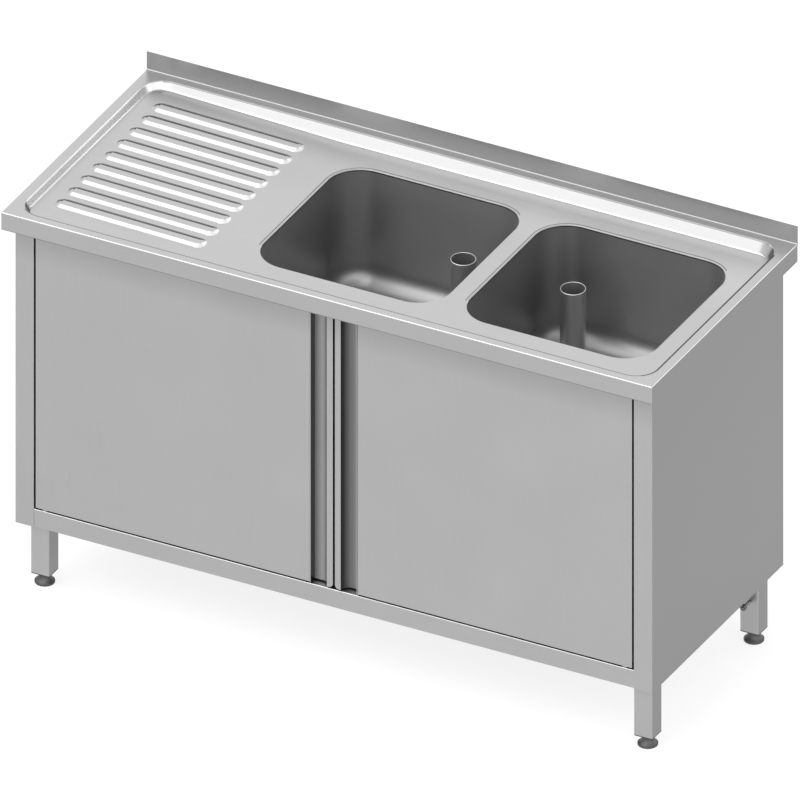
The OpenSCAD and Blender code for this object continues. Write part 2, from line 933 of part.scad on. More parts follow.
// Plan section of the left handle: wall, recess floor, curve, front lip and end fold
module handle_section() {
    wall_x = -grip_x;
    lip_x = -centre_gap / 2 - lip_w;
    curve_x = lip_x - grip_r;
    floor_y = door_y + recess_d;
    translate([wall_x, door_y]) square([handle_t, recess_d + handle_t]);
    translate([wall_x, floor_y]) square([curve_x - wall_x, handle_t]);
    translate([curve_x, floor_y - grip_r])
        intersection() {
            difference() {
                circle(grip_r + handle_t);
                circle(grip_r);
            }
            square(grip_r + handle_t);
        }
    translate([lip_x, door_y]) square([handle_t, floor_y - grip_r - door_y]);
    translate([lip_x, door_y]) square([lip_w, handle_t]);
    translate([-centre_gap / 2 - handle_t, door_y]) square([handle_t, door_t]);
}

module left_handle() {
    color(steel_colour)
        translate([0, 0, door_z]) linear_extrude(door_h) handle_section();
}

module right_handle() {
    mirror([1, 0, 0]) left_handle();
}

// Blocks inside the door's corners that hold the hinge pins
module left_hinge_blocks() {
    color(plastic_black)
        for (z = [door_z + skin_t, door_top - skin_t - hinge_block_h])
            difference() {
                block([-door_x + skin_t, door_y + skin_t, z],
                      [-door_x + skin_t + hinge_block_w, door_back_y - skin_t, z + hinge_block_h]);
                translate([-hinge_x, hinge_y, z - cut])
                    cylinder(r = pin_r + fit_gap, h = hinge_block_h + 2 * cut);
            }
}

module right_hinge_blocks() {
    mirror([1, 0, 0]) left_hinge_blocks();
}

module left_hinge_pins() {
    color(steel_colour)
        translate([-hinge_x, hinge_y, 0]) {
            translate([0, 0, door_z - pin_reach]) cylinder(r = pin_r, h = pin_reach + pin_hold);
            translate([0, 0, door_top - pin_hold]) cylinder(r = pin_r, h = pin_reach + pin_hold);
        }
}

module right_hinge_pins() {
    mirror([1, 0, 0]) left_hinge_pins();
}

module left_strike_plate() {
    z = rail_z - catch_h;
    color(steel_colour)
        block([-catch_offset - catch_l, door_back_y, z], [-catch_offset, door_back_y + strike_t, door_top]);
}

module right_strike_plate() {
    mirror([1, 0, 0]) left_strike_plate();
}

// Flanged bushes for the four hinge pins, in the base shelf and the front rail
module hinge_bushes() {
    lower_flange_h = door_gap;
    upper_flange_h = door_gap - 0.5;
    color(plastic_grey)
        for (side = [-1, 1])
            translate([side * hinge_x, hinge_y, 0]) {
                difference() {
                    union() {
                        translate([0, 0, shelf_z]) cylinder(r = bush_flange_r, h = lower_flange_h);
                        translate([0, 0, shelf_z - shelf_t - bush_l])
                            cylinder(r = bush_r, h = shelf_t + bush_l + cut);
                    }
                    translate([0, 0, shelf_z - shelf_t - bush_l - cut])
                        cylinder(r = bush_bore_r, h = shelf_t + bush_l + lower_flange_h + 2 * cut);
                }
                difference() {
                    union() {
                        translate([0, 0, rail_z - upper_flange_h]) cylinder(r = bush_flange_r, h = upper_flange_h);
                        translate([0, 0, rail_z - cut]) cylinder(r = bush_r, h = rail_t + bush_l + cut);
                    }
                    translate([0, 0, rail_z - upper_flange_h - cut])
                        cylinder(r = bush_bore_r, h = rail_t + bush_l + upper_flange_h + 2 * cut);
                }
            }
}

// Magnetic catches that hang from the front rail behind the doors
module magnetic_catches() {
    near_y = door_back_y + strike_t + catch_air;
    color(plastic_black)
        for (side = [-1, 1])
            translate([side > 0 ? catch_offset : -catch_offset - catch_l, near_y, rail_z - catch_h])
                cube([catch_l, catch_d, catch_h]);
}

// Waste body with its flange on the bowl floor and the standpipe's seat inside
module waste(drain_x) {
    color(steel_colour)
        translate([drain_x, drain_y, 0])
            difference() {
                union() {
                    translate([0, 0, bowl_z]) cylinder(d = waste_flange_d, h = waste_flange_t);
                    translate([0, 0, waste_end_z]) cylinder(r = waste_r, h = waste_body_l + waste_flange_t / 2);
                }
                translate([0, 0, seat_z]) cylinder(r = seat_r, h = seat_depth + waste_flange_t + cut);
                translate([0, 0, waste_end_z - cut]) cylinder(r = shoulder_r, h = waste_body_l + cut);
            }
}

module left_waste() {
    waste(left_drain_x);
}

module right_waste() {
    waste(right_drain_x);
}

module waste_gaskets() {
    color(rubber_colour)
        for (x = drain_xs)
            translate([x, drain_y, 0])
                ring(waste_flange_d / 2, waste_r + nut_clearance, bowl_under_z - gasket_t, gasket_t);
}

// Hexagon lock nuts under the gaskets
module lock_nuts() {
    z = bowl_under_z - gasket_t - lock_nut_h;
    color(plastic_grey)
        for (x = drain_xs)
            translate([x, drain_y, z])
                difference() {
                    cylinder(r = (waste_flange_d / 2 - 1) * hex_factor, h = lock_nut_h, $fn = 6);
                    translate([0, 0, -cut]) cylinder(r = waste_r + nut_clearance, h = lock_nut_h + 2 * cut);
                }
}

module standpipe(drain_x) {
    foot_z = seat_z + seal_h;
    color(steel_colour)
        translate([drain_x, drain_y, 0])
            ring(standpipe_d / 2, standpipe_d / 2 - standpipe_t, foot_z, bowl_z + standpipe_h - foot_z);
}

module left_standpipe() {
    standpipe(left_drain_x);
}

module right_standpipe() {
    standpipe(right_drain_x);
}

module standpipe_seal(drain_x) {
    color(rubber_colour)
        translate([drain_x, drain_y, 0])
            ring(standpipe_d / 2, shoulder_r, seat_z, seal_h);
}

module left_standpipe_seal() {
    standpipe_seal(left_drain_x);
}

module right_standpipe_seal() {
    standpipe_seal(right_drain_x);
}

// Rubber rings between the waste bodies and the pipes
module slip_seals() {
    color(rubber_colour)
        for (x = drain_xs)
            translate([x, drain_y, 0])
                ring(waste_r, pipe_r + nut_clearance, waste_end_z - drop_l / 2, drop_l / 2);
}

// Union nuts that draw the pipes up against the waste bodies
module slip_nuts() {
    low_z = waste_end_z - drop_l;
    outer_r = waste_r + 6;
    color(plastic_grey)
        for (x = drain_xs)
            translate([x, drain_y, 0])
                difference() {
                    translate([0, 0, low_z]) cylinder(r = outer_r, h = slip_nut_h);
                    translate([0, 0, waste_end_z - drop_l / 2])
                        cylinder(r = waste_r + nut_clearance, h = slip_nut_h);
                    translate([0, 0, low_z - cut])
                        cylinder(r = pipe_r + nut_clearance, h = slip_nut_h + 2 * cut);
                }
}

// Pipe along X from x0 to x1 at the height of the crossover
module pipe_x(x0, x1, r) {
    translate([x0, drain_y, crossover_z]) rotate([0, 90, 0]) cylinder(r = r, h = x1 - x0);
}

// Swept quarter bend of the elbow from its drop into the level arm
module elbow_bend(r) {
    translate([left_drain_x + elbow_r, drain_y, crossover_z + elbow_r])
        rotate([90, 0, 0])
            rotate([0, 0, 180])
                rotate_extrude(angle = 90)
                    translate([elbow_r, 0]) circle(r);
}

module waste_elbow() {
    drop_z = crossover_z + elbow_r;
    color(plastic_grey)
        difference() {
            union() {
                translate([left_drain_x, drain_y, drop_z]) cylinder(r = pipe_r, h = drop_l);
                elbow_bend(pipe_r);
                pipe_x(left_drain_x + elbow_r, elbow_end_x, pipe_r);
            }
            translate([left_drain_x, drain_y, drop_z]) cylinder(r = pipe_bore_r, h = drop_l + cut);
            elbow_bend(pipe_bore_r);
            pipe_x(left_drain_x + elbow_r, elbow_end_x + cut, pipe_bore_r);
        }
}

module crossover_pipe() {
    color(plastic_grey)
        difference() {
            pipe_x(elbow_end_x, tee_arm_x, pipe_r);
            pipe_x(elbow_end_x - cut, tee_arm_x + cut, pipe_bore_r);
        }
}

module waste_tee() {
    run_h = waste_end_z - tee_end_z;
    color(plastic_grey)
        difference() {
            union() {
                translate([right_drain_x, drain_y, tee_end_z]) cylinder(r = pipe_r, h = run_h);
                pipe_x(tee_arm_x, right_drain_x, pipe_r);
            }
            translate([right_drain_x, drain_y, tee_end_z - cut]) cylinder(r = pipe_bore_r, h = run_h + 2 * cut);
            pipe_x(tee_arm_x - cut, right_drain_x, pipe_bore_r);
        }
}

// Sleeves over the butted pipe ends
module pipe_couplings() {
    inner_r = pipe_r + nut_clearance;
    color(plastic_grey) {
        for (x = [elbow_end_x, tee_arm_x])
            translate([x - coupling_l / 2, drain_y, crossover_z])
                rotate([0, 90, 0])
                    ring(coupling_r, inner_r, 0, coupling_l);
        translate([right_drain_x, drain_y, 0])
            ring(coupling_r, inner_r, tee_end_z - coupling_l / 2, coupling_l);
        translate([right_drain_x, outlet_joint_y + coupling_l / 2, outlet_z])
            rotate([90, 0, 0])
                ring(coupling_r, inner_r, 0, coupling_l);
    }
}

// Fixed upper body of the bottle trap with its inlet, dip tube and side outlet
module trap_body() {
    dip_z = trap_body_z - trap_cup_h / 3;
    outlet_l = outlet_joint_y - drain_y;
    color(plastic_grey)
        translate([right_drain_x, drain_y, 0])
            difference() {
                union() {
                    difference() {
                        union() {
                            translate([0, 0, trap_body_z]) cylinder(r = trap_r, h = trap_body_h);
                            translate([0, outlet_l, outlet_z])
                                rotate([90, 0, 0])
                                    cylinder(r = pipe_r, h = outlet_l);
                        }
                        translate([0, 0, trap_body_z - cut])
                            cylinder(r = trap_r - trap_wall, h = trap_body_h - trap_wall + cut);
                        translate([0, outlet_l + cut, outlet_z])
                            rotate([90, 0, 0])
                                cylinder(r = pipe_bore_r, h = outlet_l + cut);
                    }
                    translate([0, 0, dip_z]) cylinder(r = pipe_r, h = tee_end_z - dip_z);
                }
                translate([0, 0, dip_z - cut]) cylinder(r = pipe_bore_r, h = tee_end_z - dip_z + 2 * cut);
            }
}

// Removable cup under the trap's body
module trap_cup() {
    color(plastic_grey)
        translate([right_drain_x, drain_y, trap_cup_z])
            difference() {
                cylinder(r = trap_r, h = trap_cup_h);
                translate([0, 0, trap_wall])
                    cylinder(r = trap_r - trap_wall, h = trap_cup_h);
            }
}

module outlet_pipe() {
    l = outlet_end_y - outlet_joint_y;
    color(plastic_grey)
        translate([right_drain_x, outlet_end_y, outlet_z])
            rotate([90, 0, 0])
                ring(pipe_r, pipe_bore_r, 0, l);
}

// Threaded stud through the front wall of the right rear leg
module earthing_stud() {
    face_y = leg_back_y - leg_w / 2;
    color(steel_colour)
        translate([leg_x, face_y + leg_t, earth_z])
            rotate([90, 0, 0])
                cylinder(d = earth_d, h = earth_l + leg_t);
}

// Nut with its washer near the stud's free end
module earthing_nut() {
    nut_y = leg_back_y - leg_w / 2 - earth_l + earth_tip + earth_nut_h;
    color(steel_colour)
        translate([leg_x, nut_y, earth_z])
            rotate([90, 0, 0])
                difference() {
                    union() {
                        cylinder(r = earth_nut_r * hex_factor, h = earth_nut_h, $fn = 6);
                        translate([0, 0, -earth_washer_t]) cylinder(r = earth_washer_r, h = earth_washer_t);
                    }
                    translate([0, 0, -2 * cut - earth_washer_t])
                        cylinder(r = earth_d / 2 + fit_gap, h = earth_nut_h + earth_washer_t + 4 * cut);
                }
}

// Hexagon bolts from below through the leg plates and the shelf
module leg_bolts() {
    color(steel_colour)
        for (place = leg_places, corner = bolt_corners)
            translate([place[0] + corner[0], place[1] + corner[1], leg_plate_z]) {
                translate([0, 0, -leg_bolt_head_h])
                    cylinder(r = leg_bolt_head_r * hex_factor, h = leg_bolt_head_h, $fn = 6);
                translate([0, 0, -cut])
                    cylinder(d = leg_bolt_d, h = leg_plate_t + shelf_t + leg_nut_h + cut);
            }
}

module leg_nuts() {
    color(steel_colour)
        for (place = leg_places, corner = bolt_corners)
            translate([place[0] + corner[0], place[1] + corner[1], shelf_z])
                difference() {
                    cylinder(r = leg_bolt_head_r * hex_factor, h = leg_nut_h, $fn = 6);
                    translate([0, 0, -cut]) cylinder(r = leg_bolt_d / 2 + fit_gap, h = leg_nut_h + 2 * cut);
                }
}

// Pan-head screws from below through the top rails into the stiffeners
module rail_screws() {
    seat = carcass_top - rail_t;
    color(steel_colour)
        for (x = stiffener_xs, y = rail_screw_ys)
            translate([x, y, seat]) {
                translate([0, 0, -rail_screw_head_h]) cylinder(r = rail_screw_head_r, h = rail_screw_head_h);
                translate([0, 0, -cut]) cylinder(d = rail_screw_d, h = rail_screw_reach + cut);
            }
}

worktop();
recessed_field();
left_bowl();
right_bowl();
worktop_stiffeners();
front_top_rail();
rear_top_rail();
left_side_panel();
right_side_panel();
back_panel();
base_shelf();
front_left_leg();
front_right_leg();
rear_left_leg();
rear_right_leg();
front_left_plug();
front_right_plug();
rear_left_plug();
rear_right_plug();
front_left_foot();
front_right_foot();
rear_left_foot();
rear_right_foot();
left_door();
left_door_liner();
left_door_stiffener();
left_handle();
left_hinge_blocks();
left_hinge_pins();
left_strike_plate();
right_door();
right_door_liner();
right_door_stiffener();
right_handle();
right_hinge_blocks();
right_hinge_pins();
right_strike_plate();
hinge_bushes();
magnetic_catches();
left_waste();
right_waste();
waste_gaskets();
lock_nuts();
left_standpipe();
right_standpipe();
left_standpipe_seal();
right_standpipe_seal();
slip_nuts();
slip_seals();
waste_elbow();
crossover_pipe();
waste_tee();
pipe_couplings();
trap_body();
trap_cup();
outlet_pipe();
earthing_stud();
earthing_nut();
leg_bolts();
leg_nuts();
rail_screws();
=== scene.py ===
"""Double-bowl sink cabinet with a ribbed drainer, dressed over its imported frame.

Shapes are worked out in millimetres in the frame's own axes and set into their meshes in metres.
"""
import math

import bmesh
import bpy
import numpy as np
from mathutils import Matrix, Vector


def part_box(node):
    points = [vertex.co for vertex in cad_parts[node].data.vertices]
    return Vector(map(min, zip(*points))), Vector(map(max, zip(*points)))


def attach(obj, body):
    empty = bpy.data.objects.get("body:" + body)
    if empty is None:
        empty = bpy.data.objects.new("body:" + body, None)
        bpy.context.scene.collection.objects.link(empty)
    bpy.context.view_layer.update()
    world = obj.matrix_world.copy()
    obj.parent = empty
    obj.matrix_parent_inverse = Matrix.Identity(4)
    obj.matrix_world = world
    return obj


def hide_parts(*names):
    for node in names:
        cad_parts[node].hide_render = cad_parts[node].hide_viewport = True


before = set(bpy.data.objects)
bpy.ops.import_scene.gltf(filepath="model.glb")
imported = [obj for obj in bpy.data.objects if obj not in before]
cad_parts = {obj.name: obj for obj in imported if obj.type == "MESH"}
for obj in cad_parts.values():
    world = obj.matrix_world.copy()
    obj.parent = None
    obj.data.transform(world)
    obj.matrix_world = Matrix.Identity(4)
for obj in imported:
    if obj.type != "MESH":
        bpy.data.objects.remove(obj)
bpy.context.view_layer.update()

bl_info = {
    "name": "Double-bowl sink cabinet",
    "version": (1, 0, 0),
    "blender": (4, 5, 0),
    "location": "3D View > Sidebar > Sink cabinet",
    "description": "Stainless sink cabinet: worktop, bowls, doors, pipes and feet, with a studio",
    "category": "Object",
}

MM = 0.001
RIGHT, BACK, UP = (1.0, 0.0, 0.0), (0.0, 1.0, 0.0), (0.0, 0.0, 1.0)
# Faces turned from this way take painted shade, and the ribs' right ends painted highlights.
FRONT_RIGHT = np.array([0.46, -0.89])  # in plan, the way that the lit slopes of the ribs face

# Sizes in millimetres that the frame's boxes don't give.
SHEET = 1.2
APRON_HEIGHT = 38.0
BOWL_HALF = 200.0
DOOR_PLANE = -270.0


def extent(node):
    """Lowest and highest corner of a frame node, in millimetres."""
    low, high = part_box(node)
    return np.array(low) / MM, np.array(high) / MM


# Outlines and profiles

def soft_min(a, b, k):
    """The lesser of a and b, less (k - |a - b|)^2 / 4k where they are within k of each other."""
    h = np.maximum(k - np.abs(a - b), 0)
    return np.minimum(a, b) - h * h / (4 * k)


def soft_max(a, b, k):
    """The greater of a and b, rounded as soft_min rounds."""
    return -soft_min(-a, -b, k)


def arc(cx, cy, r, start, end, steps):
    """Points centre + r (cos a, sin a) for a from start to end, in degrees."""
    a = np.radians(np.linspace(start, end, steps + 1))
    return np.column_stack([cx + r * np.cos(a), cy + r * np.sin(a)])


def line_x(xs, y):
    """A point (x, y) for each of the xs."""
    return np.column_stack([xs, np.full(len(xs), y)])


def line_y(x, ys):
    """A point (x, y) for each of the ys."""
    return np.column_stack([np.full(len(ys), x), ys])


def outline(half_l, half_w, r, xs, ys, steps):
    """Rectangle with round corners, counter-clockwise from the front side's left end.

    Straight sides are sampled at xs and ys, and each corner is a quarter circle of radius r.
    """
    cx, cy = half_l - r, half_w - r
    return np.concatenate([
        line_x(xs, -half_w), arc(cx, -cy, r, -90, 0, steps),
        line_y(half_l, ys), arc(cx, cy, r, 0, 90, steps),
        line_x(xs[::-1], half_w), arc(-cx, cy, r, 90, 180, steps),
        line_y(-half_l, ys[::-1]), arc(-cx, -cy, r, 180, 270, steps),
    ])


def rounded_box(half_l, half_w, r, steps):
    """The outline's corners alone, round the origin."""
    return outline(half_l, half_w, r, np.empty(0), np.empty(0), steps)


def rounded_polygon(points, radii, steps=6):
    """Polygon with an arc for each corner, which touches both sides at r / tan(half the corner's angle)."""
    points = np.asarray(points, float)
    out = []
    for k, r in enumerate(radii):
        p, a, b = points[k], points[k - 1], points[(k + 1) % len(points)]
        u, v = (a - p) / np.linalg.norm(a - p), (b - p) / np.linalg.norm(b - p)
        if r <= 0:
            out.append(p[None])
            continue
        half = math.acos(np.clip(u @ v, -1, 1)) / 2
        mid = (u + v) / np.linalg.norm(u + v)
        centre = p + mid * r / math.sin(half)
        s, e = p + u * r / math.tan(half) - centre, p + v * r / math.tan(half) - centre
        turn = math.atan2(s[0] * e[1] - s[1] * e[0], s @ e)
        t = math.atan2(s[1], s[0]) + np.linspace(0, turn, steps + 1)
        out.append(centre + r * np.column_stack([np.cos(t), np.sin(t)]))
    return np.concatenate(out)


def ring(points, z):
    """A closed loop of (x, y) points at the height z, which may be one number or one for each point."""
    loop = np.column_stack([points, np.broadcast_to(z, len(points))])
    return np.concatenate([loop, loop[:1]])


def placed(flat, along, axis):
    """Points (u, v) set at the place along on an axis. u and v are the other two axes in order."""
    flat = np.asarray(flat, float)
    return np.insert(flat, "xyz".index(axis), along, axis=1)


def bar(profile, axis, *stations):
    """Closed profile carried straight along an axis through its stations, with both ends closed."""
    profile = np.asarray(profile, float)
    loop = np.concatenate([profile, profile[:1]])
    return {
        "grids": [np.stack([placed(loop, place, axis) for place in stations])],
        "caps": [placed(profile, stations[0], axis), placed(profile, stations[-1], axis)],
    }


def turned(profile, centre, axis="z", steps=72):
    """Closed profile (r, h) turned about an axis: r cos a and r sin a across it, and h along it."""
    profile = np.asarray(profile, float)
    loop = np.concatenate([profile, profile[:1]])
    a = np.linspace(0, 2 * np.pi, steps + 1)[:, None]
    r = np.broadcast_to(loop[:, 0], (steps + 1, len(loop)))
    h = np.broadcast_to(loop[:, 1], r.shape)
    u, v = r * np.cos(a), r * np.sin(a)
    order = {"z": (u, v, h), "y": (u, h, v)}[axis]
    return {"grids": [np.stack(order, axis=-1) + np.asarray(centre, float)], "caps": []}


def slab(low, high, r, steps=5):
    """Upright board with all its edges rounded: rings of round-cornered outlines from front to back.

    At the angle a the outline is inset by r (1 - sin a), and the ring lies r (1 - cos a) from the face.
    """
    middle, half = (low + high)[[0, 2]] / 2, (high - low)[[0, 2]] / 2
    a = np.radians(np.linspace(0, 90, steps + 1))
    inset, depth = r * (1 - np.sin(a)), r * (1 - np.cos(a))
    rings = []
    for i, y in [*zip(inset, low[1] + depth), *zip(inset[::-1], high[1] - depth[::-1])]:
        rings.append(placed(rounded_box(half[0] - i, half[1] - i, max(r - i, 1e-4), 6) + middle, y, "y"))
    grid = np.stack([np.concatenate([p, p[:1]]) for p in rings])
    return {"grids": [grid], "caps": [rings[0], rings[-1]]}


def mirrored(shell):
    """The same shell with x turned to -x."""
    flip = np.array([-1.0, 1.0, 1.0])
    return {**shell, "grids": [g * flip for g in shell["grids"]], "caps": [c * flip for c in shell["caps"]]}


# Meshes

def shell_arrays(shell):
    """Points and faces of a shell: each grid of rows and columns gives (rows - 1)(columns - 1) quads.

    Points that round to the same half micrometre become one, and quads that shrink to a line are left out.
    """
    points, faces, base = [], [], 0
    for grid in shell["grids"]:
        rows, cols = grid.shape[:2]
        n = base + np.arange(rows * cols).reshape(rows, cols)
        faces.append(np.stack([n[:-1, :-1], n[:-1, 1:], n[1:, 1:], n[1:, :-1]], axis=-1).reshape(-1, 4))
        points.append(grid.reshape(-1, 3))
        base += rows * cols
    quads = np.concatenate(faces) if faces else np.empty((0, 4), int)
    caps = []
    for cap in shell["caps"]:
        points.append(cap)
        caps.append(base + np.arange(len(cap)))
        base += len(cap)
    points = np.concatenate(points)
    half_micrometres = np.round(points * 2000).astype(np.int64)
    _, first, merged = np.unique(half_micrometres, axis=0, return_index=True, return_inverse=True)
    merged = merged.reshape(-1)
    points, quads = points[first], merged[quads]
    same = quads == np.roll(quads, -1, axis=1)
    whole = quads[~same.any(axis=1)]
    thin = same.sum(axis=1) == 1
    threes = quads[thin][~same[thin]].reshape(-1, 3)
    polygons = [p[np.append(True, p[1:] != p[:-1])] for p in (merged[c] for c in caps)]
    return points, whole.tolist() + threes.tolist() + [p.tolist() for p in polygons]


def shell_mesh(shell):
    """A mesh of one shell in metres. An open sheet gets its wall on the side away from its faces."""
    points, faces = shell_arrays(shell)
    mesh = bpy.data.meshes.new("shell")
    mesh.from_pydata((points * MM).tolist(), [], faces)
    mesh.update()
    work = bmesh.new()
    work.from_mesh(mesh)
    bmesh.ops.recalc_face_normals(work, faces=work.faces)
    wall = shell.get("wall", 0)
    if wall and sum(f.normal.z * f.calc_area() for f in work.faces) < 0:
        bmesh.ops.reverse_faces(work, faces=work.faces)
    work.to_mesh(mesh)
    work.free()
    if not wall:
        return mesh
    carrier = bpy.data.objects.new("carrier", mesh)
    bpy.context.scene.collection.objects.link(carrier)
    solid = carrier.modifiers.new("Wall", "SOLIDIFY")
    solid.thickness, solid.offset, solid.use_even_offset = wall * MM, -1, True
    shown = carrier.evaluated_get(bpy.context.evaluated_depsgraph_get())
    made = bpy.data.meshes.new_from_object(shown)
    bpy.data.objects.remove(carrier)
    return made


def face_arrays(mesh):
    """Middles in millimetres and unit normals of a mesh's faces."""
    n = len(mesh.polygons)
    middle, normal = np.empty(3 * n), np.empty(3 * n)
    mesh.polygons.foreach_get("center", middle)
    mesh.polygons.foreach_get("normal", normal)
    return middle.reshape(-1, 3) / MM, normal.reshape(-1, 3)


def make_piece(name, shells, body, node, finishes, sharp=35, marks=None):
    """Joins the shells into one piece, smooth up to the sharp angle, ties it to its body and hides its node.

    marks gives each face the number of its finish from the faces' middles and normals.
    """
    work = bmesh.new()
    for shell in shells:
        part = shell_mesh(shell)
        work.from_mesh(part)
        bpy.data.meshes.remove(part)
    mesh = bpy.data.meshes.new(name)
    work.to_mesh(mesh)
    work.free()
    mesh.shade_smooth()
    mesh.set_sharp_from_angle(angle=math.radians(sharp))
    for each in finishes:
        mesh.materials.append(finish(each))
    if marks:
        mesh.polygons.foreach_set("material_index", marks(*face_arrays(mesh)).astype(np.int32))
    piece = bpy.data.objects.new(name, mesh)
    bpy.context.scene.collection.objects.link(piece)
    even = piece.modifiers.new("Even shading", "WEIGHTED_NORMAL")
    even.keep_sharp, even.weight = True, 80
    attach(piece, body)
    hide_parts(node)


def dress(name, *nodes):
    """Gives frame nodes the named finish."""
    for node in nodes:
        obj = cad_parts[node]
        obj.data.materials.clear()
        obj.data.materials.append(finish(name))


# Finishes

def new_material(name):
    """A material with its node tree and its shader."""
    made = bpy.data.materials.new(name)
    made.use_nodes = True
    return made, made.node_tree, made.node_tree.nodes["Principled BSDF"]


def fill(tree, node, inputs):
    """Sets a node's inputs to plain values, and links those that are given another node's output."""
    for key, value in inputs.items():
        if isinstance(value, bpy.types.NodeSocket):
            tree.links.new(value, node.inputs[key])
        else:
            node.inputs[key].default_value = value


def added(tree, kind, inputs, **settings):
    """The outputs of a new node with its settings and inputs."""
    node = tree.nodes.new("ShaderNode" + kind)
    for key, value in settings.items():
        setattr(node, key, value)
    fill(tree, node, inputs)
    return node.outputs


def noise(tree, scale, detail, rough):
    """Noise on object coordinates stretched by a scale for each axis."""
    place = added(tree, "TexCoord", {})["Object"]
    stretched = added(tree, "Mapping", {"Scale": scale, "Vector": place})["Vector"]
    inputs = {"Scale": 1.0, "Detail": detail, "Roughness": rough, "Vector": stretched}
    return added(tree, "TexNoise", inputs)["Fac"]


def ranged(tree, value, low, high, start=0.3, stop=0.7):
    """low where the value is start, high where it is stop, and evenly between."""
    inputs = {"From Min": start, "From Max": stop, "To Min": low, "To Max": high, "Value": value}
    return added(tree, "MapRange", inputs)["Result"]


def joined(tree, a, b, kind="ADD"):
    """The sum of two values, or what another kind of mathematics gives."""
    return added(tree, "Math", {0: a, 1: b}, operation=kind)[0]


def tint(tree, fac, colour, spread):
    """The colour, from (1 - spread) times it where the factor is 0 to (1 + spread) times it where it is 1."""
    dark = (*(c * (1 - spread) for c in colour), 1)
    light = (*(min(c * (1 + spread), 1) for c in colour), 1)
    return added(tree, "Mix", {"A": dark, "B": light, "Factor": fac}, data_type="RGBA")["Result"]


def bump(tree, height, strength, distance):
    """Normals of a surface raised by the height, in metres of distance."""
    return added(tree, "Bump", {"Strength": strength, "Distance": distance, "Height": height})["Normal"]


def brushed_steel(name, colour, roughness, along="x", grain=1.0, *painted_fades):
    """Satin steel: fine streaks along one axis over broad, faint smudges from wiping.

    Each fade (way, start, stop, gain) multiplies the colour by 1 where the dot product of place and way is
    start, by gain where it is stop, and evenly between. The fades are painted light and shade.
    """
    made, tree, shader = new_material(name)
    streaks = noise(tree, [9.0 if axis == along else 900.0 for axis in "xyz"], 3.0, 0.6)
    smudges = noise(tree, (5.0, 5.0, 5.0), 4.0, 0.55)
    fine = ranged(tree, streaks, roughness - 0.035 * grain, roughness + 0.035 * grain)
    rough = joined(tree, fine, ranged(tree, smudges, -0.02, 0.02))
    mix = joined(tree, ranged(tree, streaks, 0.0, 0.6), ranged(tree, smudges, 0.0, 0.4))
    shade = tint(tree, mix, colour, 0.05 * grain)
    for way, start, stop, gain in painted_fades:
        place = added(tree, "TexCoord", {})["Object"]
        reach = added(tree, "VectorMath", {0: place, 1: way}, operation="DOT_PRODUCT")["Value"]
        faded = ranged(tree, reach, 1.0, gain, start, stop)
        shade = added(tree, "VectorMath", {0: shade, "Scale": faded}, operation="SCALE")[0]
    fill(tree, shader, {"Roughness": rough, "Base Color": shade, "Metallic": 1.0,
                        "Normal": bump(tree, streaks, 0.06 * grain, 0.00005)})
    return made


def bowl_painted_shading(node):
    """What brushed_steel takes for a bowl.

    The grey, painted light and shade, rises over the fillet, up the walls, and along them from the left end.
    On
    the floor it falls towards the right: that fade runs along 8 z - x, so that it is whole from the fillet
    up.
    """
    f = bpy.context.scene.sink_finish
    low, high = (corner * MM for corner in extent(node))
    floor, left, right = low[2], low[0], high[0]
    fillet_top, rim = floor + 0.05, floor + 0.22
    return ((f.bowl_floor_grey * 0.47,) * 3, f.roughness + 0.1, "z", 0.7,
            (UP, floor, fillet_top, f.bowl_grey / f.bowl_floor_grey / 1.5),
            (UP, fillet_top, rim, 1.22),
            (RIGHT, left + 0.02, left + 0.14, 1.47),
            ((-1.0, 0.0, 8.0), 8 * floor - right, 8 * floor - left, 2.15))


def moulded(name, colour, roughness, spread=0.12, pits=1400.0, metallic=0.0):
    """Moulded plastic or rubber: a fine pitted skin with faint blotches of colour."""
    made, tree, shader = new_material(name)
    skin = noise(tree, (pits, pits, pits), 2.0, 0.6)
    blotches = noise(tree, (30.0, 30.0, 30.0), 3.0, 0.5)
    rough = ranged(tree, blotches, roughness - 0.06, roughness + 0.06)
    shade = tint(tree, ranged(tree, blotches, 0.0, 1.0), colour, spread)
    fill(tree, shader, {"Roughness": rough, "Base Color": shade, "Metallic": metallic,
                        "Normal": bump(tree, skin, 0.15, 0.00008)})
    return made


def grey(v):
    """A neutral colour with a trace of blue."""
    return v, v, v * 1.004


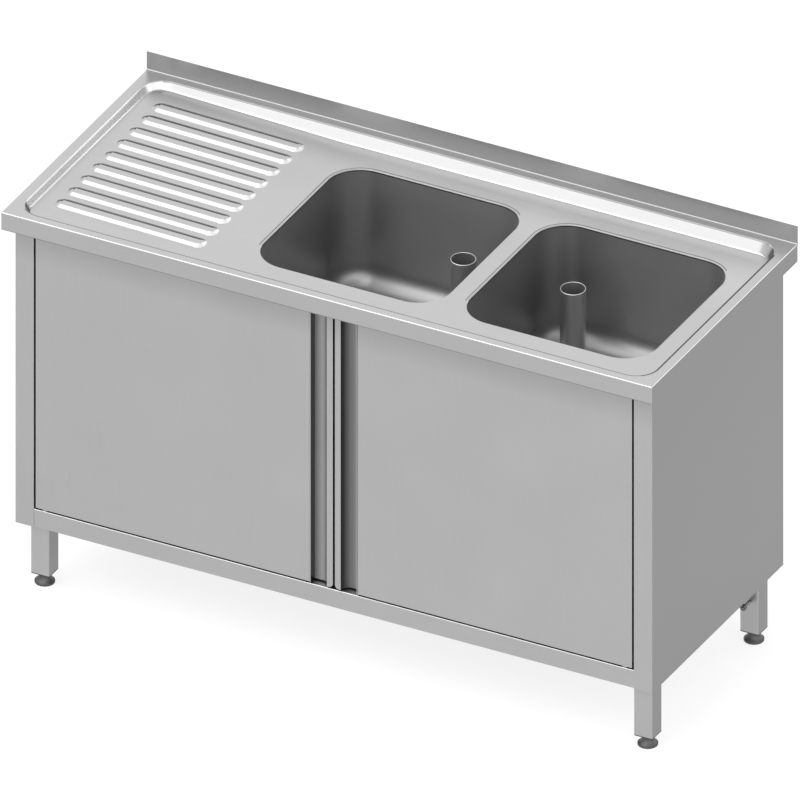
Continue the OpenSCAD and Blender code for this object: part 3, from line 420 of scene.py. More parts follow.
def finish(name):
    """The named finish, made once from the settings. The steels' rows are what brushed_steel takes."""
    if name in bpy.data.materials:
        return bpy.data.materials[name]
    f = bpy.context.scene.sink_finish
    satin, upright = f.roughness, f.roughness + 0.04
    door_top = extent("left_door")[1][2] * MM
    side_foot = extent("right_side_panel")[0][2] * MM
    steels = {
        "Worktop steel": (f.worktop_colour, satin, "x"),
        # The upstand's front is darkened as painted shade.
        "Upstand steel": (f.upstand_shade_colour, satin, "x"),
        # Dark greys for painted shade and painted shadow lines.
        "Light crease": (grey(0.17), satin, "x", 0.5),
        "Deep crease": (grey(0.07), satin, "x", 0.5),
        # Painted light towards the wall side, with a strip of painted shade before the rear wall.
        "Field steel": (f.worktop_colour, satin, "x", 1.0,
                        ((0.1, 1.0, 0.0), 0.1, 0.28, 1.22), (BACK, 0.228, 0.264, 0.71)),
        # A pale grey for painted highlights.
        "Bright steel": (grey(0.72), satin, "x"),
        # The field's left wall: painted shade that lightens towards the back as painted light.
        "Left wall steel": (grey(0.37), satin + 0.06, "y", 0.05, (BACK, -0.1, 0.22, 1.4)),
        # The recesses behind the handles' lips, with painted shade that lightens towards the right.
        "Left grip steel": (grey(0.31), 0.55, "z", 0.5, (RIGHT, -0.046, -0.022, 1.12)),
        "Right grip steel": (grey(0.1), 0.5, "z", 0.5, (RIGHT, 0.022, 0.044, 2.7)),
        # The recess's side wall, darkened as painted shade.
        "Grip wall steel": (grey(0.072), satin, "z", 0.5),
        # Faces turned from the light, darkened as painted shade, a little more so up to the doors' top.
        "Side steel": (grey(f.side_shade_grey), upright, "z", 1.0, (UP, 0.25, door_top, 0.91)),
        # Painted shade under the cabinet, and under the worktop's edge.
        "Leg steel": (f.panel_colour, upright, "z", 1.0, (UP, side_foot - 0.035, side_foot, 0.8)),
        "Panel steel": (f.panel_colour, upright, "z", 1.0, (UP, door_top - 0.062, door_top, 0.82)),
        "Rail steel": (f.panel_colour, upright, "x"),
        # The bowls' greys carry painted light and shade.
        "Left bowl steel": bowl_painted_shading("left_bowl"),
        "Right bowl steel": bowl_painted_shading("right_bowl"),
        "Tube steel": (f.tube_colour, 0.4, "z", 0.8),
        # The standpipes' bore, darker as painted shade.
        "Bore steel": (grey(0.43), 0.46, "z", 0.8),
        "Fastener steel": (grey(0.32), 0.34, "z", 0.8),
        # The earthing stud, darkened as painted shade.
        "Stud steel": (grey(0.14), 0.4, "z", 0.8),
    }
    mouldings = {
        "Foot grey": (f.foot_colour, 0.5, 0.12, 1400.0, 0.75),
        "Black plastic": (grey(0.025), 0.5),
        "Pipe grey": (grey(0.4), 0.4, 0.05, 500.0),
        "Rubber": (grey(0.02), 0.7),
    }
    if name in steels:
        return brushed_steel(name, *steels[name])
    return moulded(name, *mouldings[name])


# Worktop

def beyond(p, x, half_l, half_w, r):
    """How far points lie outside a rounded rectangle round (x, 0), and the way out from it in plan.

    With q = |p| - (half - r): the distance is |max(q, 0)| + min(max(q), 0) - r.
    """
    flat = p[:, :2] - [x, 0.0]
    q = np.abs(flat) - [half_l - r, half_w - r]
    out = np.linalg.norm(np.maximum(q, 0), axis=1) + np.minimum(q.max(axis=1), 0) - r
    way = np.sign(flat) * np.where(q.max(axis=1)[:, None] > 0, np.maximum(q, 0), q == q.max(axis=1)[:, None])
    return out, way / (np.linalg.norm(way, axis=1, keepdims=True) + 1e-9)


RIM_FINISHES = ("Worktop steel", "Light crease", "Deep crease", "Upstand steel", "Side steel", "Rail steel",
                "Left wall steel", "Bright steel")
FIELD_FINISHES = ("Field steel", "Light crease", "Deep crease", "Side steel", "Bright steel")


class Field:
    """Heights of the recessed field and the rim's wall, with the sampling that their pieces share."""

    # The skirt's foot takes a painted shadow line this high.
    skirt_shadow_line = 1.0  # height of the dark line at the skirt's foot
    depth = 23.0  # of the field round the bowls
    slope_x, slope = -260.0, 9.0 / 417.0  # the drainer rises by 9 on its way to the outer end
    edge_l, edge_w, corner = 677.0, 278.5, 45.0  # half sizes and corner of the wall's upper edge
    run = 0.56  # of the wall sideways, for each millimetre down
    rib_x, rib_l = -475.5, 320.5  # middle and length
    rib_foot, rib_top = 17.2, 8.8  # half widths
    ribs = 5.5 + (np.arange(9) - 4) * 50.0
    bowl_edge, bridge = -240.0, 201.0  # where the grid of ribs ends, and the rings round the bowls meet
    corner_steps = 24

    def __init__(self):
        w = bpy.context.scene.sink_worktop
        low, high = extent("worktop")
        self.half_l, self.half_w = high[0], high[1]
        self.skirt_foot, self.top, self.upstand_top = low[2], low[2] + APRON_HEIGHT, high[2]
        self.floor = self.top - self.depth
        self.seam = self.edge_l - extent("recessed_field")[1][0]
        self.arc_x, self.arc_y = self.edge_l - self.corner, self.edge_w - self.corner
        self.rib_h = w.rib_height / MM
        self.top_bend, self.foot_bend, self.roll = w.top_bend / MM, w.foot_bend / MM, w.edge_roll / MM
        self.bowls = [sum(extent(node))[0] / 2 for node in ("left_bowl", "right_bowl")]
        self.bowl_corner = bpy.context.scene.sink_bowls.corner / MM
        self.make_sampling()

    def make_sampling(self):
        """Rows ys and columns xs of the grids, close together on the slopes of the ribs."""
        half = [19.0, 18.0, 17.2, 16.4, 15.4, 14.2, 13.0, 11.8, 10.8, 9.8, 9.0, 8.0, 6.6, 5.2]
        rows = (self.ribs[:, None] + [*half, 0.0, *np.negative(half)]).ravel()
        gaps = np.concatenate([[self.ribs[0] - 23], self.ribs[:-1] + 25.0, [self.ribs[-1] + 21]])
        self.ys = np.sort(np.concatenate([rows, gaps]))
        self.ys = self.ys[np.abs(self.ys) < self.arc_y - 1]
        first = self.rib_x - self.rib_l / 2 + np.arange(-1.5, 21, 1.4)
        last = 2 * self.rib_x - first[::-1]
        middle = np.linspace(first[-1], last[0], 18)[1:-1]
        tail = [-309.0, -295.0, -280.0, -270.0, -264.0, -260.0, -256.0, self.bowl_edge]
        self.columns = np.concatenate([[-self.edge_l + self.seam, -656.0, -648.0, -642.0, -639.0],
                                       first, middle, last, tail])
        turn = np.radians(np.linspace(90, 0, self.corner_steps + 1))
        r = self.corner - self.seam
        bend_y = -(self.arc_y + r * np.sin(turn))
        bend_x = -(self.arc_x + r * np.cos(turn))
        straight = np.full(len(self.ys), -self.edge_l + self.seam)
        self.rows = np.concatenate([bend_y, self.ys, -bend_y[::-1]])
        self.left = np.concatenate([bend_x, straight, bend_x[::-1]])
        xs_left = self.drainer_x(self.left[:1])[0][1:]
        self.xs_bowl1 = np.linspace(self.bowl_edge, self.bridge, 42)[1:-1]
        self.xs_bowl2 = np.linspace(self.bridge, self.arc_x, 40)[1:-1]
        self.xs = np.concatenate([xs_left, self.xs_bowl1, [self.bridge], self.xs_bowl2])

    def drainer_x(self, left):
        """Columns pressed together in the round corners: x = left + t (still - left) up to still."""
        still = -612.0
        t = (self.columns - self.columns[0]) / (still - self.columns[0])
        squeezed = left[:, None] + t[None, :] * (still - left[:, None])
        return np.where(self.columns[None, :] < still, squeezed, self.columns[None, :])

    def floor_at(self, x):
        """Level floor, then a rise of slope times the distance left of slope_x, with a soft crease."""
        return self.floor + soft_max(self.slope * (self.slope_x - x), 0 * x, 0.4)

    def rib_at(self, x, y):
        """Height of the ribs: a ramp in the distance from each rib's spine, softened at its foot and top."""
        half = self.rib_l / 2 - self.rib_foot
        past = np.maximum(np.abs(x - self.rib_x) - half, 0)
        near = np.abs(y[..., None] - self.ribs).min(axis=-1)
        away = np.hypot(past, near)
        ramp = (self.rib_foot - away) * self.rib_h / (self.rib_foot - self.rib_top)
        return soft_max(soft_min(ramp, self.rib_h + 0 * ramp, 1.0), 0 * ramp, 0.8)

    def rim_at(self, inward, x):
        """Level rim, sloped wall and floor: the wall falls 1 / run for each millimetre inward."""
        wall = self.top - inward / self.run
        rim = soft_min(wall, self.top + 0 * wall, self.top_bend)
        return soft_max(rim, self.floor_at(x), self.foot_bend)

    def loop(self, half_l, half_w, r):
        """Rounded rectangle in plan, sampled as the grids are."""
        return outline(half_l, half_w, r, self.xs, self.ys, self.corner_steps)

    def rim_marks(self, p, n):
        """Each face's number in RIM_FINISHES, from how far outside the wall's upper edge it lies."""
        plain, light, deep, upstand, side, apron, left_wall, painted_highlight = range(len(RIM_FINISHES))
        out, way = beyond(p, 0, self.edge_l, self.edge_w, self.corner)
        facing = -way @ FRONT_RIGHT
        wall = (out < 0.3) & (out > -self.seam - 1)
        steep = wall & (n[:, 2] < 0.72)
        # Painted shade on the walls that face away, from the corners where they begin, and painted shadow
        # lines on the edge above them.
        upper, left = wall & (out > -9.5), way[:, 0] < 0
        marks = np.where(upper & (facing < np.where(left, 0.38, 0.3)), light, plain)
        marks[upper & (facing < np.where(left, 0.17, 0.02)) & (out < -1)] = deep
        edge = (out > -0.3) & (facing < -0.3)
        marks[edge & (out < 3.4)] = light
        marks[edge & (out < 4.2) & (way[:, 0] > 0.6)] = deep
        # The skirt's right end in painted shade, and its front with a painted shadow line at the foot.
        marks[(p[:, 0] > self.half_l - 1) & (n[:, 0] > 0.9)] = side
        front = n[:, 1] < -0.95
        marks[front] = apron
        marks[front & (p[:, 2] < self.skirt_foot + self.skirt_shadow_line)] = light
        # The left wall's painted shading, painted shade at the foot and a painted shadow line at the upper
        # edge of the rear wall, and a painted highlight in the corner between them.
        marks[steep & (way[:, 0] < -0.98)] = left_wall
        rear = way[:, 1] > 0.9
        marks[rear & (out < -12) & (n[:, 2] > 0.9)] = upstand
        marks[rear & (out < 0.8) & (out > -1.3)] = light
        marks[steep & (way[:, 0] > -0.98) & (way[:, 0] < -0.85) & (way[:, 1] > 0)] = painted_highlight
        # The upstand's front in painted shade, and a painted shadow line on the bend at its foot.
        stands = (p[:, 1] > self.half_w - 6) & (p[:, 2] > self.top)
        marks[stands & (n[:, 1] < -0.25)] = upstand
        marks[stands & (n[:, 1] > -0.25) & (p[:, 2] < self.top + 2)] = light
        return marks

    def field_marks(self, p, n):
        """Each face's number in FIELD_FINISHES, from its place on a rib's slope or by a bowl's far edge."""
        plain, light, deep, side, painted_highlight = range(len(FIELD_FINISHES))
        from_middle = p[:, 0] - self.rib_x
        past = np.sign(from_middle) * np.maximum(np.abs(from_middle) - self.rib_l / 2 + self.rib_foot, 0)
        beside = p[:, 1, None] - self.ribs
        near = beside[np.arange(len(p)), np.abs(beside).argmin(axis=1)]
        away = np.hypot(past, near) + 1e-9
        facing = (past * FRONT_RIGHT[0] + near * FRONT_RIGHT[1]) / away
        # The ribs' slopes that face away take painted shade, and their right ends painted highlights.
        slope = (away > self.rib_top - 3.2) & (away < self.rib_foot + 0.8) & (p[:, 0] < self.slope_x)
        marks = np.where(slope & (facing < -0.45), deep, plain)
        marks[slope & (past > 0) & (facing > -0.45) & (away > self.rib_top + 4 * (1 - facing))] = painted_highlight
        # By each bowl's far edge: a painted shadow line on the floor, and painted shade on the roll.
        for x in self.bowls:
            out, way = beyond(p, x, BOWL_HALF, BOWL_HALF, self.bowl_corner)
            far = way @ FRONT_RIGHT < -0.3
            marks[far & (out > self.roll + 2.5) & (out < self.roll + 5.1)] = light
            marks[far & (out < self.roll) & (n[:, 2] < 0.97)] = side
        return marks


def rim_shell(f):
    """Skirt, folded edge, rim and wall as rings from the skirt's foot to the field's seam.

    At the angle a the fold is inset by fold (1 - sin a), fold (1 - cos a) below the rim.
    """
    fold, corner, inner_corner, skirt_middle = 2.3, 1.5, 0.3, 18.0
    rings = []
    for z in (0.0, f.skirt_shadow_line, skirt_middle):
        rings.append(ring(f.loop(f.half_l, f.half_w, corner), f.skirt_foot + z))
    for a in np.radians(np.linspace(90, 0, 9)):
        inset = fold * (1 - math.sin(a))
        r = inner_corner + (corner - inner_corner) * math.sin(a)
        flat = f.loop(f.half_l - inset, f.half_w - inset, r)
        rings.append(ring(flat, f.top - fold * (1 - math.cos(a))))
    inward = np.concatenate([[-8.0, -4.2, -3.4], np.arange(-2.1, f.seam - 0.5, 0.56), [f.seam]])
    for d in inward:
        flat = f.loop(f.edge_l - d, f.edge_w - d, f.corner - d)
        rings.append(ring(flat, f.rim_at(np.full(len(flat), d), flat[:, 0])))
    return {"grids": [np.stack(rings)], "caps": [], "wall": SHEET}


def upstand_shell(f):
    """Upright sheet along the wall side: a profile with a hollow bend at its foot and a rounded top edge."""
    back, front, top = f.half_w, f.half_w - SHEET, f.upstand_top
    bend, edge = 3.2, 0.4
    profile = np.concatenate([
        [[back, f.top - 3.0]],
        arc(back - edge, top - edge, edge, 0, 90, 4),
        arc(front + edge, top - edge, edge, 90, 180, 4),
        arc(front - bend, f.top + bend + 0.02, bend, 0, -90, 8),
        [[front - bend, f.top - 0.05]],
    ])
    return bar(profile, "x", -f.half_l, f.half_l)


def bowl_edge_points(centre_x, corner, toward):
    """Points and outward normals where rays from a bowl's middle to the given points cross its outline."""
    straight = np.linspace(-(BOWL_HALF - corner), BOWL_HALF - corner, 60)[1:-1]
    base = outline(BOWL_HALF, BOWL_HALF, corner, straight, straight, 90)
    wide = outline(BOWL_HALF + 1, BOWL_HALF + 1, corner + 1, straight, straight, 90)
    angle = np.arctan2(base[:, 1], base[:, 0])
    order = np.argsort(angle)
    want = np.arctan2(toward[:, 1], toward[:, 0] - centre_x)
    table = np.column_stack([base, wide - base])[order].T
    x, y, *normal = (np.interp(want, angle[order], values, period=2 * np.pi) for values in table)
    normals = np.column_stack(normal)
    return np.column_stack([x + centre_x, y]), normals / np.linalg.norm(normals, axis=1, keepdims=True)


def surround(f, loop, centre_x):
    """Flat floor from a loop in to a bowl's edge, which rolls down by a quarter circle.

    At the angle a the edge lies roll (1 - sin a) outside the bowl, roll (1 - cos a) below the floor.
    """
    edge, normal = bowl_edge_points(centre_x, f.bowl_corner, loop)
    start = edge + normal * (f.roll + 5.0)
    flats = [loop + (start - loop) * t for t in (0, 0.35, 0.7, 1)]
    flats += [edge + normal * (f.roll + 2.6), edge + normal * f.roll]
    rings = [ring(flat, f.floor_at(flat[:, 0])) for flat in flats]
    for a in np.radians(np.linspace(0, 90, 9)[1:]):
        rings.append(ring(edge + normal * f.roll * (1 - math.sin(a)), f.floor - f.roll * (1 - math.cos(a))))
    return np.stack(rings)[:, ::-1]


def field_shell(f):
    """The ribbed drainer as one grid, and a ring of floor round each bowl."""
    x = f.drainer_x(f.left)
    y = np.broadcast_to(f.rows[:, None], x.shape)
    drainer = np.stack([x, y, f.floor_at(x) + f.rib_at(x, y)], axis=-1)
    side, half_w, r = f.rows[1:-1], f.edge_w - f.seam, f.corner - f.seam
    first = np.concatenate([
        [[f.bowl_edge, -half_w]], line_x(f.xs_bowl1, -half_w),
        [[f.bridge, -half_w]], line_y(f.bridge, side),
        [[f.bridge, half_w]], line_x(f.xs_bowl1[::-1], half_w),
        [[f.bowl_edge, half_w]], line_y(f.bowl_edge, side[::-1]),
    ])
    second = np.concatenate([
        [[f.bridge, -half_w]], line_x(f.xs_bowl2, -half_w),
        arc(f.arc_x, -f.arc_y, r, -90, 0, f.corner_steps), line_y(f.edge_l - f.seam, f.ys),
        arc(f.arc_x, f.arc_y, r, 0, 90, f.corner_steps), line_x(f.xs_bowl2[::-1], half_w),
        [[f.bridge, half_w]], line_y(f.bridge, side[::-1]),
    ])
    rings = [surround(f, loop, x) for loop, x in zip((first, second), f.bowls)]
    return {"grids": [drainer, *rings], "caps": [], "wall": SHEET}


# Bowls, wastes and standpipes

BOWL_LIP, BOWL_WALL = 2.4, 1.0


def bowl_shell(x, drain, z_top, z_floor, fillet, corner):
    """Welding flange, upright walls, quarter-circle fillet and a floor drawn in to the waste's hole.

    At the angle a the fillet is inset by fillet (1 - cos a), fillet (1 - sin a) above the floor.
    """
    straight = np.linspace(-120, 120, 13)
    hole_r, flange, level = 30.0, 12.0, 60

    def loop(grow):
        return outline(BOWL_HALF + grow, BOWL_HALF + grow, corner + grow, straight, straight, 18) + [x, 0]

    rings = [ring(loop(grow), z_top) for grow in (flange, flange / 3, 0.0)]
    for z in (z_top - BOWL_LIP, z_top - level, z_floor + fillet + level, z_floor + fillet):
        rings.append(ring(loop(0.0), z))
    for a in np.radians(np.linspace(0, 90, 17)[1:]):
        rings.append(ring(loop(-fillet * (1 - math.cos(a))), z_floor + fillet * (1 - math.sin(a))))
    low = loop(-fillet)
    turn = np.arctan2(low[:, 1] - drain[1], low[:, 0] - drain[0])
    hole = np.asarray(drain) + hole_r * np.column_stack([np.cos(turn), np.sin(turn)])
    rings += [ring(low + (hole - low) * t, z_floor) for t in (0.15, 0.5, 0.85, 1.0)]
    return {"grids": [np.stack(rings)], "caps": [], "wall": BOWL_WALL}


def thread(r, low, high, pitch, depth):
    """Profile points (r, h) of a thread's crests and roots from low to high."""
    n = max(int((high - low) / pitch), 1)
    h = np.linspace(low, high, 2 * n + 1)
    return np.column_stack([np.where(np.arange(2 * n + 1) % 2, r - depth, r), h])


def waste_shell(x, y, seat, floor, low):
    """Turned waste: flange with a rounded lip, seat for the standpipe, and a threaded body."""
    flange, lip, bore, body, chamfer = 40.0, 1.4, 22.0, 29.0, 0.6
    profile = np.concatenate([
        [[flange, floor + 0.02]],
        arc(flange - lip, floor + 0.6, lip, 0, 90, 5),
        arc(27.2, floor + 0.2, 1.8, 90, 180, 5),
        [[25.3, seat], [bore, seat], [bore, low + chamfer], [bore + chamfer, low], [body - chamfer, low]],
        thread(body, low + chamfer, floor - 6, pitch=2.4, depth=0.5),
        [[body, floor + 0.02]],
    ])
    return turned(profile, (x, y, 0))


def standpipe_shell(x, y, low, high):
    """Plain tube with a rounded lip at its top and a small chamfer at its foot."""
    r, lip = 25.0, 1.0
    profile = np.concatenate([
        [[r, low + 0.5]],
        arc(r - lip, high - lip, lip, 0, 180, 10),
        [[r - 2 * lip, low + 0.5], [r - 1.7, low], [r - 0.3, low]],
    ])
    return turned(profile, (x, y, 0), steps=96)


# Cabinet

def side_shells(side, low, high, shelf):
    """Folded side: one section with the stile's inner fold above the shelf, one without it below."""
    x, stile, t, fold, rear = side, side - 40.0, 1.0, 22.0, 30.0
    y0, y1 = DOOR_PLANE, -DOOR_PLANE
    front = [(x, y0), (stile, y0)]
    inner = [(stile, y0 + fold), (stile + t, y0 + fold)]
    rest = [(x - t, y0 + t), (x - t, y1 - t), (x - rear, y1 - t), (x - rear, y1), (x, y1)]
    full = rounded_polygon([*front, *inner, (stile + t, y0 + t), *rest],
                           (1.6, 1.6, 0, 0, 0.6, 0.6, 0.6, 0, 0.3, 1.6))
    plain = rounded_polygon([*front, (stile, y0 + t), *rest], (1.6, 0.3, 0, 0.6, 0.6, 0, 0.3, 1.6))
    return [bar(full, "z", shelf, high), bar(plain, "z", low, shelf)]


RAIL_FACE, RAIL_BEND, RECESS_END = -269.0, -264.0, 52.0


def shelf_shells(low, shelf):
    """Base shelf: front rail with its rounded top edge and lip, and the deck with its rear fold."""
    t, face, lip, joint, back = SHEET, RAIL_FACE, -254.0, -247.5, 268.0
    rail = [(lip, low), (face, low), (face, shelf), (RAIL_BEND, shelf), (joint, shelf), (joint, shelf - t),
            (face + t, shelf - t), (face + t, low + t), (lip, low + t)]
    deck = [(joint, shelf), (back, shelf), (back, low), (back - t, low), (back - t, shelf - t),
            (joint, shelf - t)]
    return [bar(rounded_polygon(rail, (0.3, 1.5, 2.6, 0, 0, 0, 1.4, 0.4, 0)), "x",
                -645, -RECESS_END, RECESS_END, 645),
            bar(rounded_polygon(deck, (0, 2.0, 0, 0, 0.8, 0)), "x", -684, 684)]


def shelf_shadow_marks(p, n):
    """1 along the rail's top edge under the doors, outside the handles."""
    # 1 takes a painted shadow, the dark of the gap under the doors.
    edge = (p[:, 1] > RAIL_FACE + 1.3) & (p[:, 1] < RAIL_BEND) & (n[:, 2] > 0.8)
    return edge & (np.abs(p[:, 0]) > RECESS_END)


def handle_shell(low, high, corner):
    """Left handle: recess wall, recess floor, finger curve, front lip and end fold as one closed section.

    The lip's lower corner is a quarter circle: at the angle a it is narrower by corner (1 - sin a),
    corner (1 - cos a) above its foot.
    """
    face, t = DOOR_PLANE, 1.5
    wall, floor, lip, end = -51.0, -252.5, -15.0, -2.0
    curve, r = (-32.0, -269.5), 17.0
    profile = np.concatenate([
        [[wall, face], [wall + t, face]],
        arc(wall + t + 0.5, floor - 0.5, 0.5, 180, 90, 3),
        arc(*curve, r, 90, 0, 14),
        arc(lip + 0.5, face + 0.5, 0.5, 180, 270, 3),
        arc(end - t, face + t, t, 270, 360, 5),
        [[end, face + 20], [end - t, face + 20], [end - t, face + t], [lip + t, face + t]],
        arc(*curve, r + t, 0, 90, 14),
        [[wall, floor + t]],
    ])
    a = np.radians(np.linspace(0, 90, 10))
    whole = bar(profile, "z", *(low + corner * (1 - np.cos(a))), high)
    narrower = np.append(corner * (1 - np.sin(a)), 0.0)[:, None]
    grid = whole["grids"][0]
    grid[..., 0] -= narrower * np.clip((grid[..., 0] - lip) / (end - lip), 0, 1)
    whole["caps"][0] = grid[0, :-1]
    return whole


def grip_shade_marks(p, n):
    """1 in the recess behind the lip, and 2 on its side wall."""
    # Both numbers take painted shade.
    out = np.abs(p[:, 0])
    recess = (p[:, 1] > DOOR_PLANE + 1.6) & (out > 14)
    return np.where(recess, np.where((out > 49.3) & (np.abs(n[:, 0]) > 0.7), 2, 1), 0)


def leg_shells(x, y, low, plate, top):
    """Square tube with rounded edges, and its screwed plate."""
    tube, flange = rounded_box(20, 20, 3, 6), rounded_box(35, 35, 2, 4)
    return [bar(tube + [x, y], "z", low, plate), bar(flange + [x, y], "z", plate, top)]


def foot_shell(x, y, neck_top, stem_top):
    """Turned foot: rounded pad, hollow flare up to the neck, and a threaded stem."""
    pad, neck, stem, chamfer = 18.2, 11.5, 5.0, 1.0
    profile = np.concatenate([
        [[0.0, 0.0], [pad, 0.0]],
        arc(18.4, 1.5, 1.5, -80, 0, 4),
        arc(19.0, 4.5, 0.9, 0, 110, 4),
        [[18.0, 5.2]],
        arc(25.5, 17.5, 14.0, 236, 180, 10),
        [[neck, neck_top - 0.8], [neck - 0.7, neck_top], [stem, neck_top]],
        thread(stem, neck_top + 0.5, stem_top - chamfer, pitch=1.5, depth=0.45),
        [[stem - chamfer, stem_top], [0.0, stem_top]],
    ])
    return turned(profile, (x, y, 0), steps=64)


# Settings

def length(name, description, default, low, high):
    """A setting in metres."""
    return bpy.props.FloatProperty(name=name, description=description, default=default, min=low, max=high,
                                   unit="LENGTH")


def angle(name, description, degrees, most=180):
    """A setting for an angle."""
    return bpy.props.FloatProperty(name=name, description=description, default=math.radians(degrees), min=0,
                                   max=math.radians(most), subtype="ANGLE")


def share(name, description, default, low=0.0):
    """A setting up to 1."""
    return bpy.props.FloatProperty(name=name, description=description, default=default, min=low, max=1,
                                   subtype="FACTOR")


def strength(name, description, default):
    """A setting for how strong a light is."""
    return bpy.props.FloatProperty(name=name, description=description, default=default, min=0)


def colour(name, description, default):
    """A setting for a colour, neutral at first."""
    return bpy.props.FloatVectorProperty(name=name, description=description, default=(default,) * 3, min=0,
                                         max=1, subtype="COLOR")


class SinkWorktopSettings(bpy.types.PropertyGroup):
    """Sizes of the pressed worktop."""
    rib_height: length("Rib height", "Height of the drainer's ribs", 0.0046, 0.001, 0.008)
    top_bend: length("Rim bend", "Height over which the rim rounds into its wall", 0.0034, 0.001, 0.006)
    foot_bend: length("Foot bend", "Height over which the wall rounds into the floor", 0.003, 0.001, 0.0034)
    edge_roll: length("Bowl edge", "Radius of the floor's edge round each bowl", 0.0018, 0.001, 0.004)


class SinkBowlSettings(bpy.types.PropertyGroup):
    """Sizes of the drawn bowls."""
    corner: length("Corner radius", "Plan radius of a bowl's corners", 0.068, 0.05, 0.09)
    fillet: length("Floor radius", "Radius between a bowl's walls and floor", 0.04, 0.02, 0.06)


class SinkFinishSettings(bpy.types.PropertyGroup):
    """Colours and gloss of the finishes."""
    worktop_colour: colour("Worktop", "Colour of the worktop's steel", 0.44)
    # Darker than the worktop, as painted shade.
    upstand_shade_colour: colour("Upstand", "Colour of the upstand's front", 0.267)
    panel_colour: colour("Panels", "Colour of the cabinet's steel", 0.395)
    # The walls' and floors' greys set the bowls' painted light and shade.
    bowl_grey: share("Bowls", "Grey of the bowls' walls", 0.405)
    bowl_floor_grey: share("Bowl floors", "Grey of the bowls' floors", 0.175, 0.01)
    # Painted shade for faces turned from the light.
    side_shade_grey: share("Right side", "Grey of the faces towards the right", 0.255)
    tube_colour: colour("Standpipes", "Colour of the standpipes' steel", 0.55)
    foot_colour: colour("Feet", "Colour of the feet", 0.092)
    roughness: share("Roughness", "Roughness of the brushed steel", 0.32, 0.05)


class SinkStudioSettings(bpy.types.PropertyGroup):
    """Light and view of the studio."""
    key: strength("Key light", "Strength of the broad key light", 1.9)
    key_spread: angle("Key spread", "Angle across the key light", 60)
    front: strength("Front light", "Strength of the soft light from the front right", 1.5)
    front_spread: angle("Front spread", "Angle across the front light", 72)
    rear: strength("Rear light", "Strength of the soft light from behind", 0.3)
    rear_spread: angle("Rear spread", "Angle across the rear light", 70)
    edge: strength("Edge light", "Strength of the light that draws the bends", 0.6)
    edge_spread: angle("Edge spread", "Angle across the edge light", 36)
    side: strength("Side light", "Strength of the soft light from the right", 1.05)
    side_spread: angle("Side spread", "Angle across the side light", 60)
    sky: strength("Sky light", "Strength of the even light all round", 0.55)
    floor: share("Floor", "How pale the floor is", 0.25)
    glow: strength("Floor glow", "Lift that whitens the floor as it is seen", 0.78)
    azimuth: angle("Azimuth", "Direction of view round the cabinet", 27.64, 360)
    elevation: angle("Elevation", "Height of the view above the horizon", 30.95, 90)
    width: length("Width of view", "Width that the picture takes in", 1.5243, 0.5, 5.0)


# Pieces

class SINK_OT_worktop(bpy.types.Operator):
    """Make the rim with its upstand, and the recessed field with its ribs"""
    bl_idname = "sink.worktop"
    bl_label = "Make the worktop"

    def execute(self, context):
        f = Field()
        make_piece("worktop_rim", [rim_shell(f), upstand_shell(f)], "cabinet", "worktop", RIM_FINISHES,
                   marks=f.rim_marks)
        make_piece("drainer_and_surround", [field_shell(f)], "cabinet", "recessed_field", FIELD_FINISHES,
                   sharp=50, marks=f.field_marks)
        return {"FINISHED"}


class SINK_OT_bowls(bpy.types.Operator):
    """Make both deep-drawn bowls"""
    bl_idname = "sink.bowls"
    bl_label = "Make the bowls"

    def execute(self, context):
        b = context.scene.sink_bowls
        roll = context.scene.sink_worktop.edge_roll / MM
        for side in ("left", "right"):
            low, high = extent(f"{side}_bowl")
            x, top = (low[0] + high[0]) / 2, high[2] + SHEET - roll
            waste = sum(extent(f"{side}_waste"))[:2] / 2
            shell = bowl_shell(x, waste, top, low[2] + BOWL_WALL, b.fillet / MM, b.corner / MM)
            # The band under each bowl's rim takes a painted shadow line.
            make_piece(f"{side}_bowl_drawn", [shell], "cabinet", f"{side}_bowl",
                       [f"{side.title()} bowl steel", "Light crease"],
                       marks=lambda p, n: (p[:, 2] > top - BOWL_LIP) & (np.abs(n[:, 2]) < 0.5))
        return {"FINISHED"}


class SINK_OT_wastes(bpy.types.Operator):
    """Make the turned wastes and the lift-out standpipes"""
    bl_idname = "sink.wastes"
    bl_label = "Make the wastes and standpipes"

    def execute(self, context):
        flange = 2.0
        for side in ("left", "right"):
            low, high = extent(f"{side}_waste")
            pipe_low, pipe_high = extent(f"{side}_standpipe")
            seal_low = extent(f"{side}_standpipe_seal")[0]
            x, y = (low + high)[:2] / 2
            waste = waste_shell(x, y, seal_low[2], high[2] - flange, low[2])
            make_piece(f"{side}_waste_turned", [waste], "cabinet", f"{side}_waste", ["Tube steel"])
            tube = standpipe_shell(x, y, pipe_low[2], pipe_high[2])
            # The bore takes painted shade.
            make_piece(f"{side}_standpipe_tube", [tube], f"{side}_standpipe", f"{side}_standpipe",
                       ["Tube steel", "Bore steel"],
                       marks=lambda p, n: ((p - [x, y, 0])[:, :2] * n[:, :2]).sum(axis=1) < -2)
            dress("Rubber", f"{side}_standpipe_seal")
        dress("Rubber", "waste_gaskets", "slip_seals")
        return {"FINISHED"}


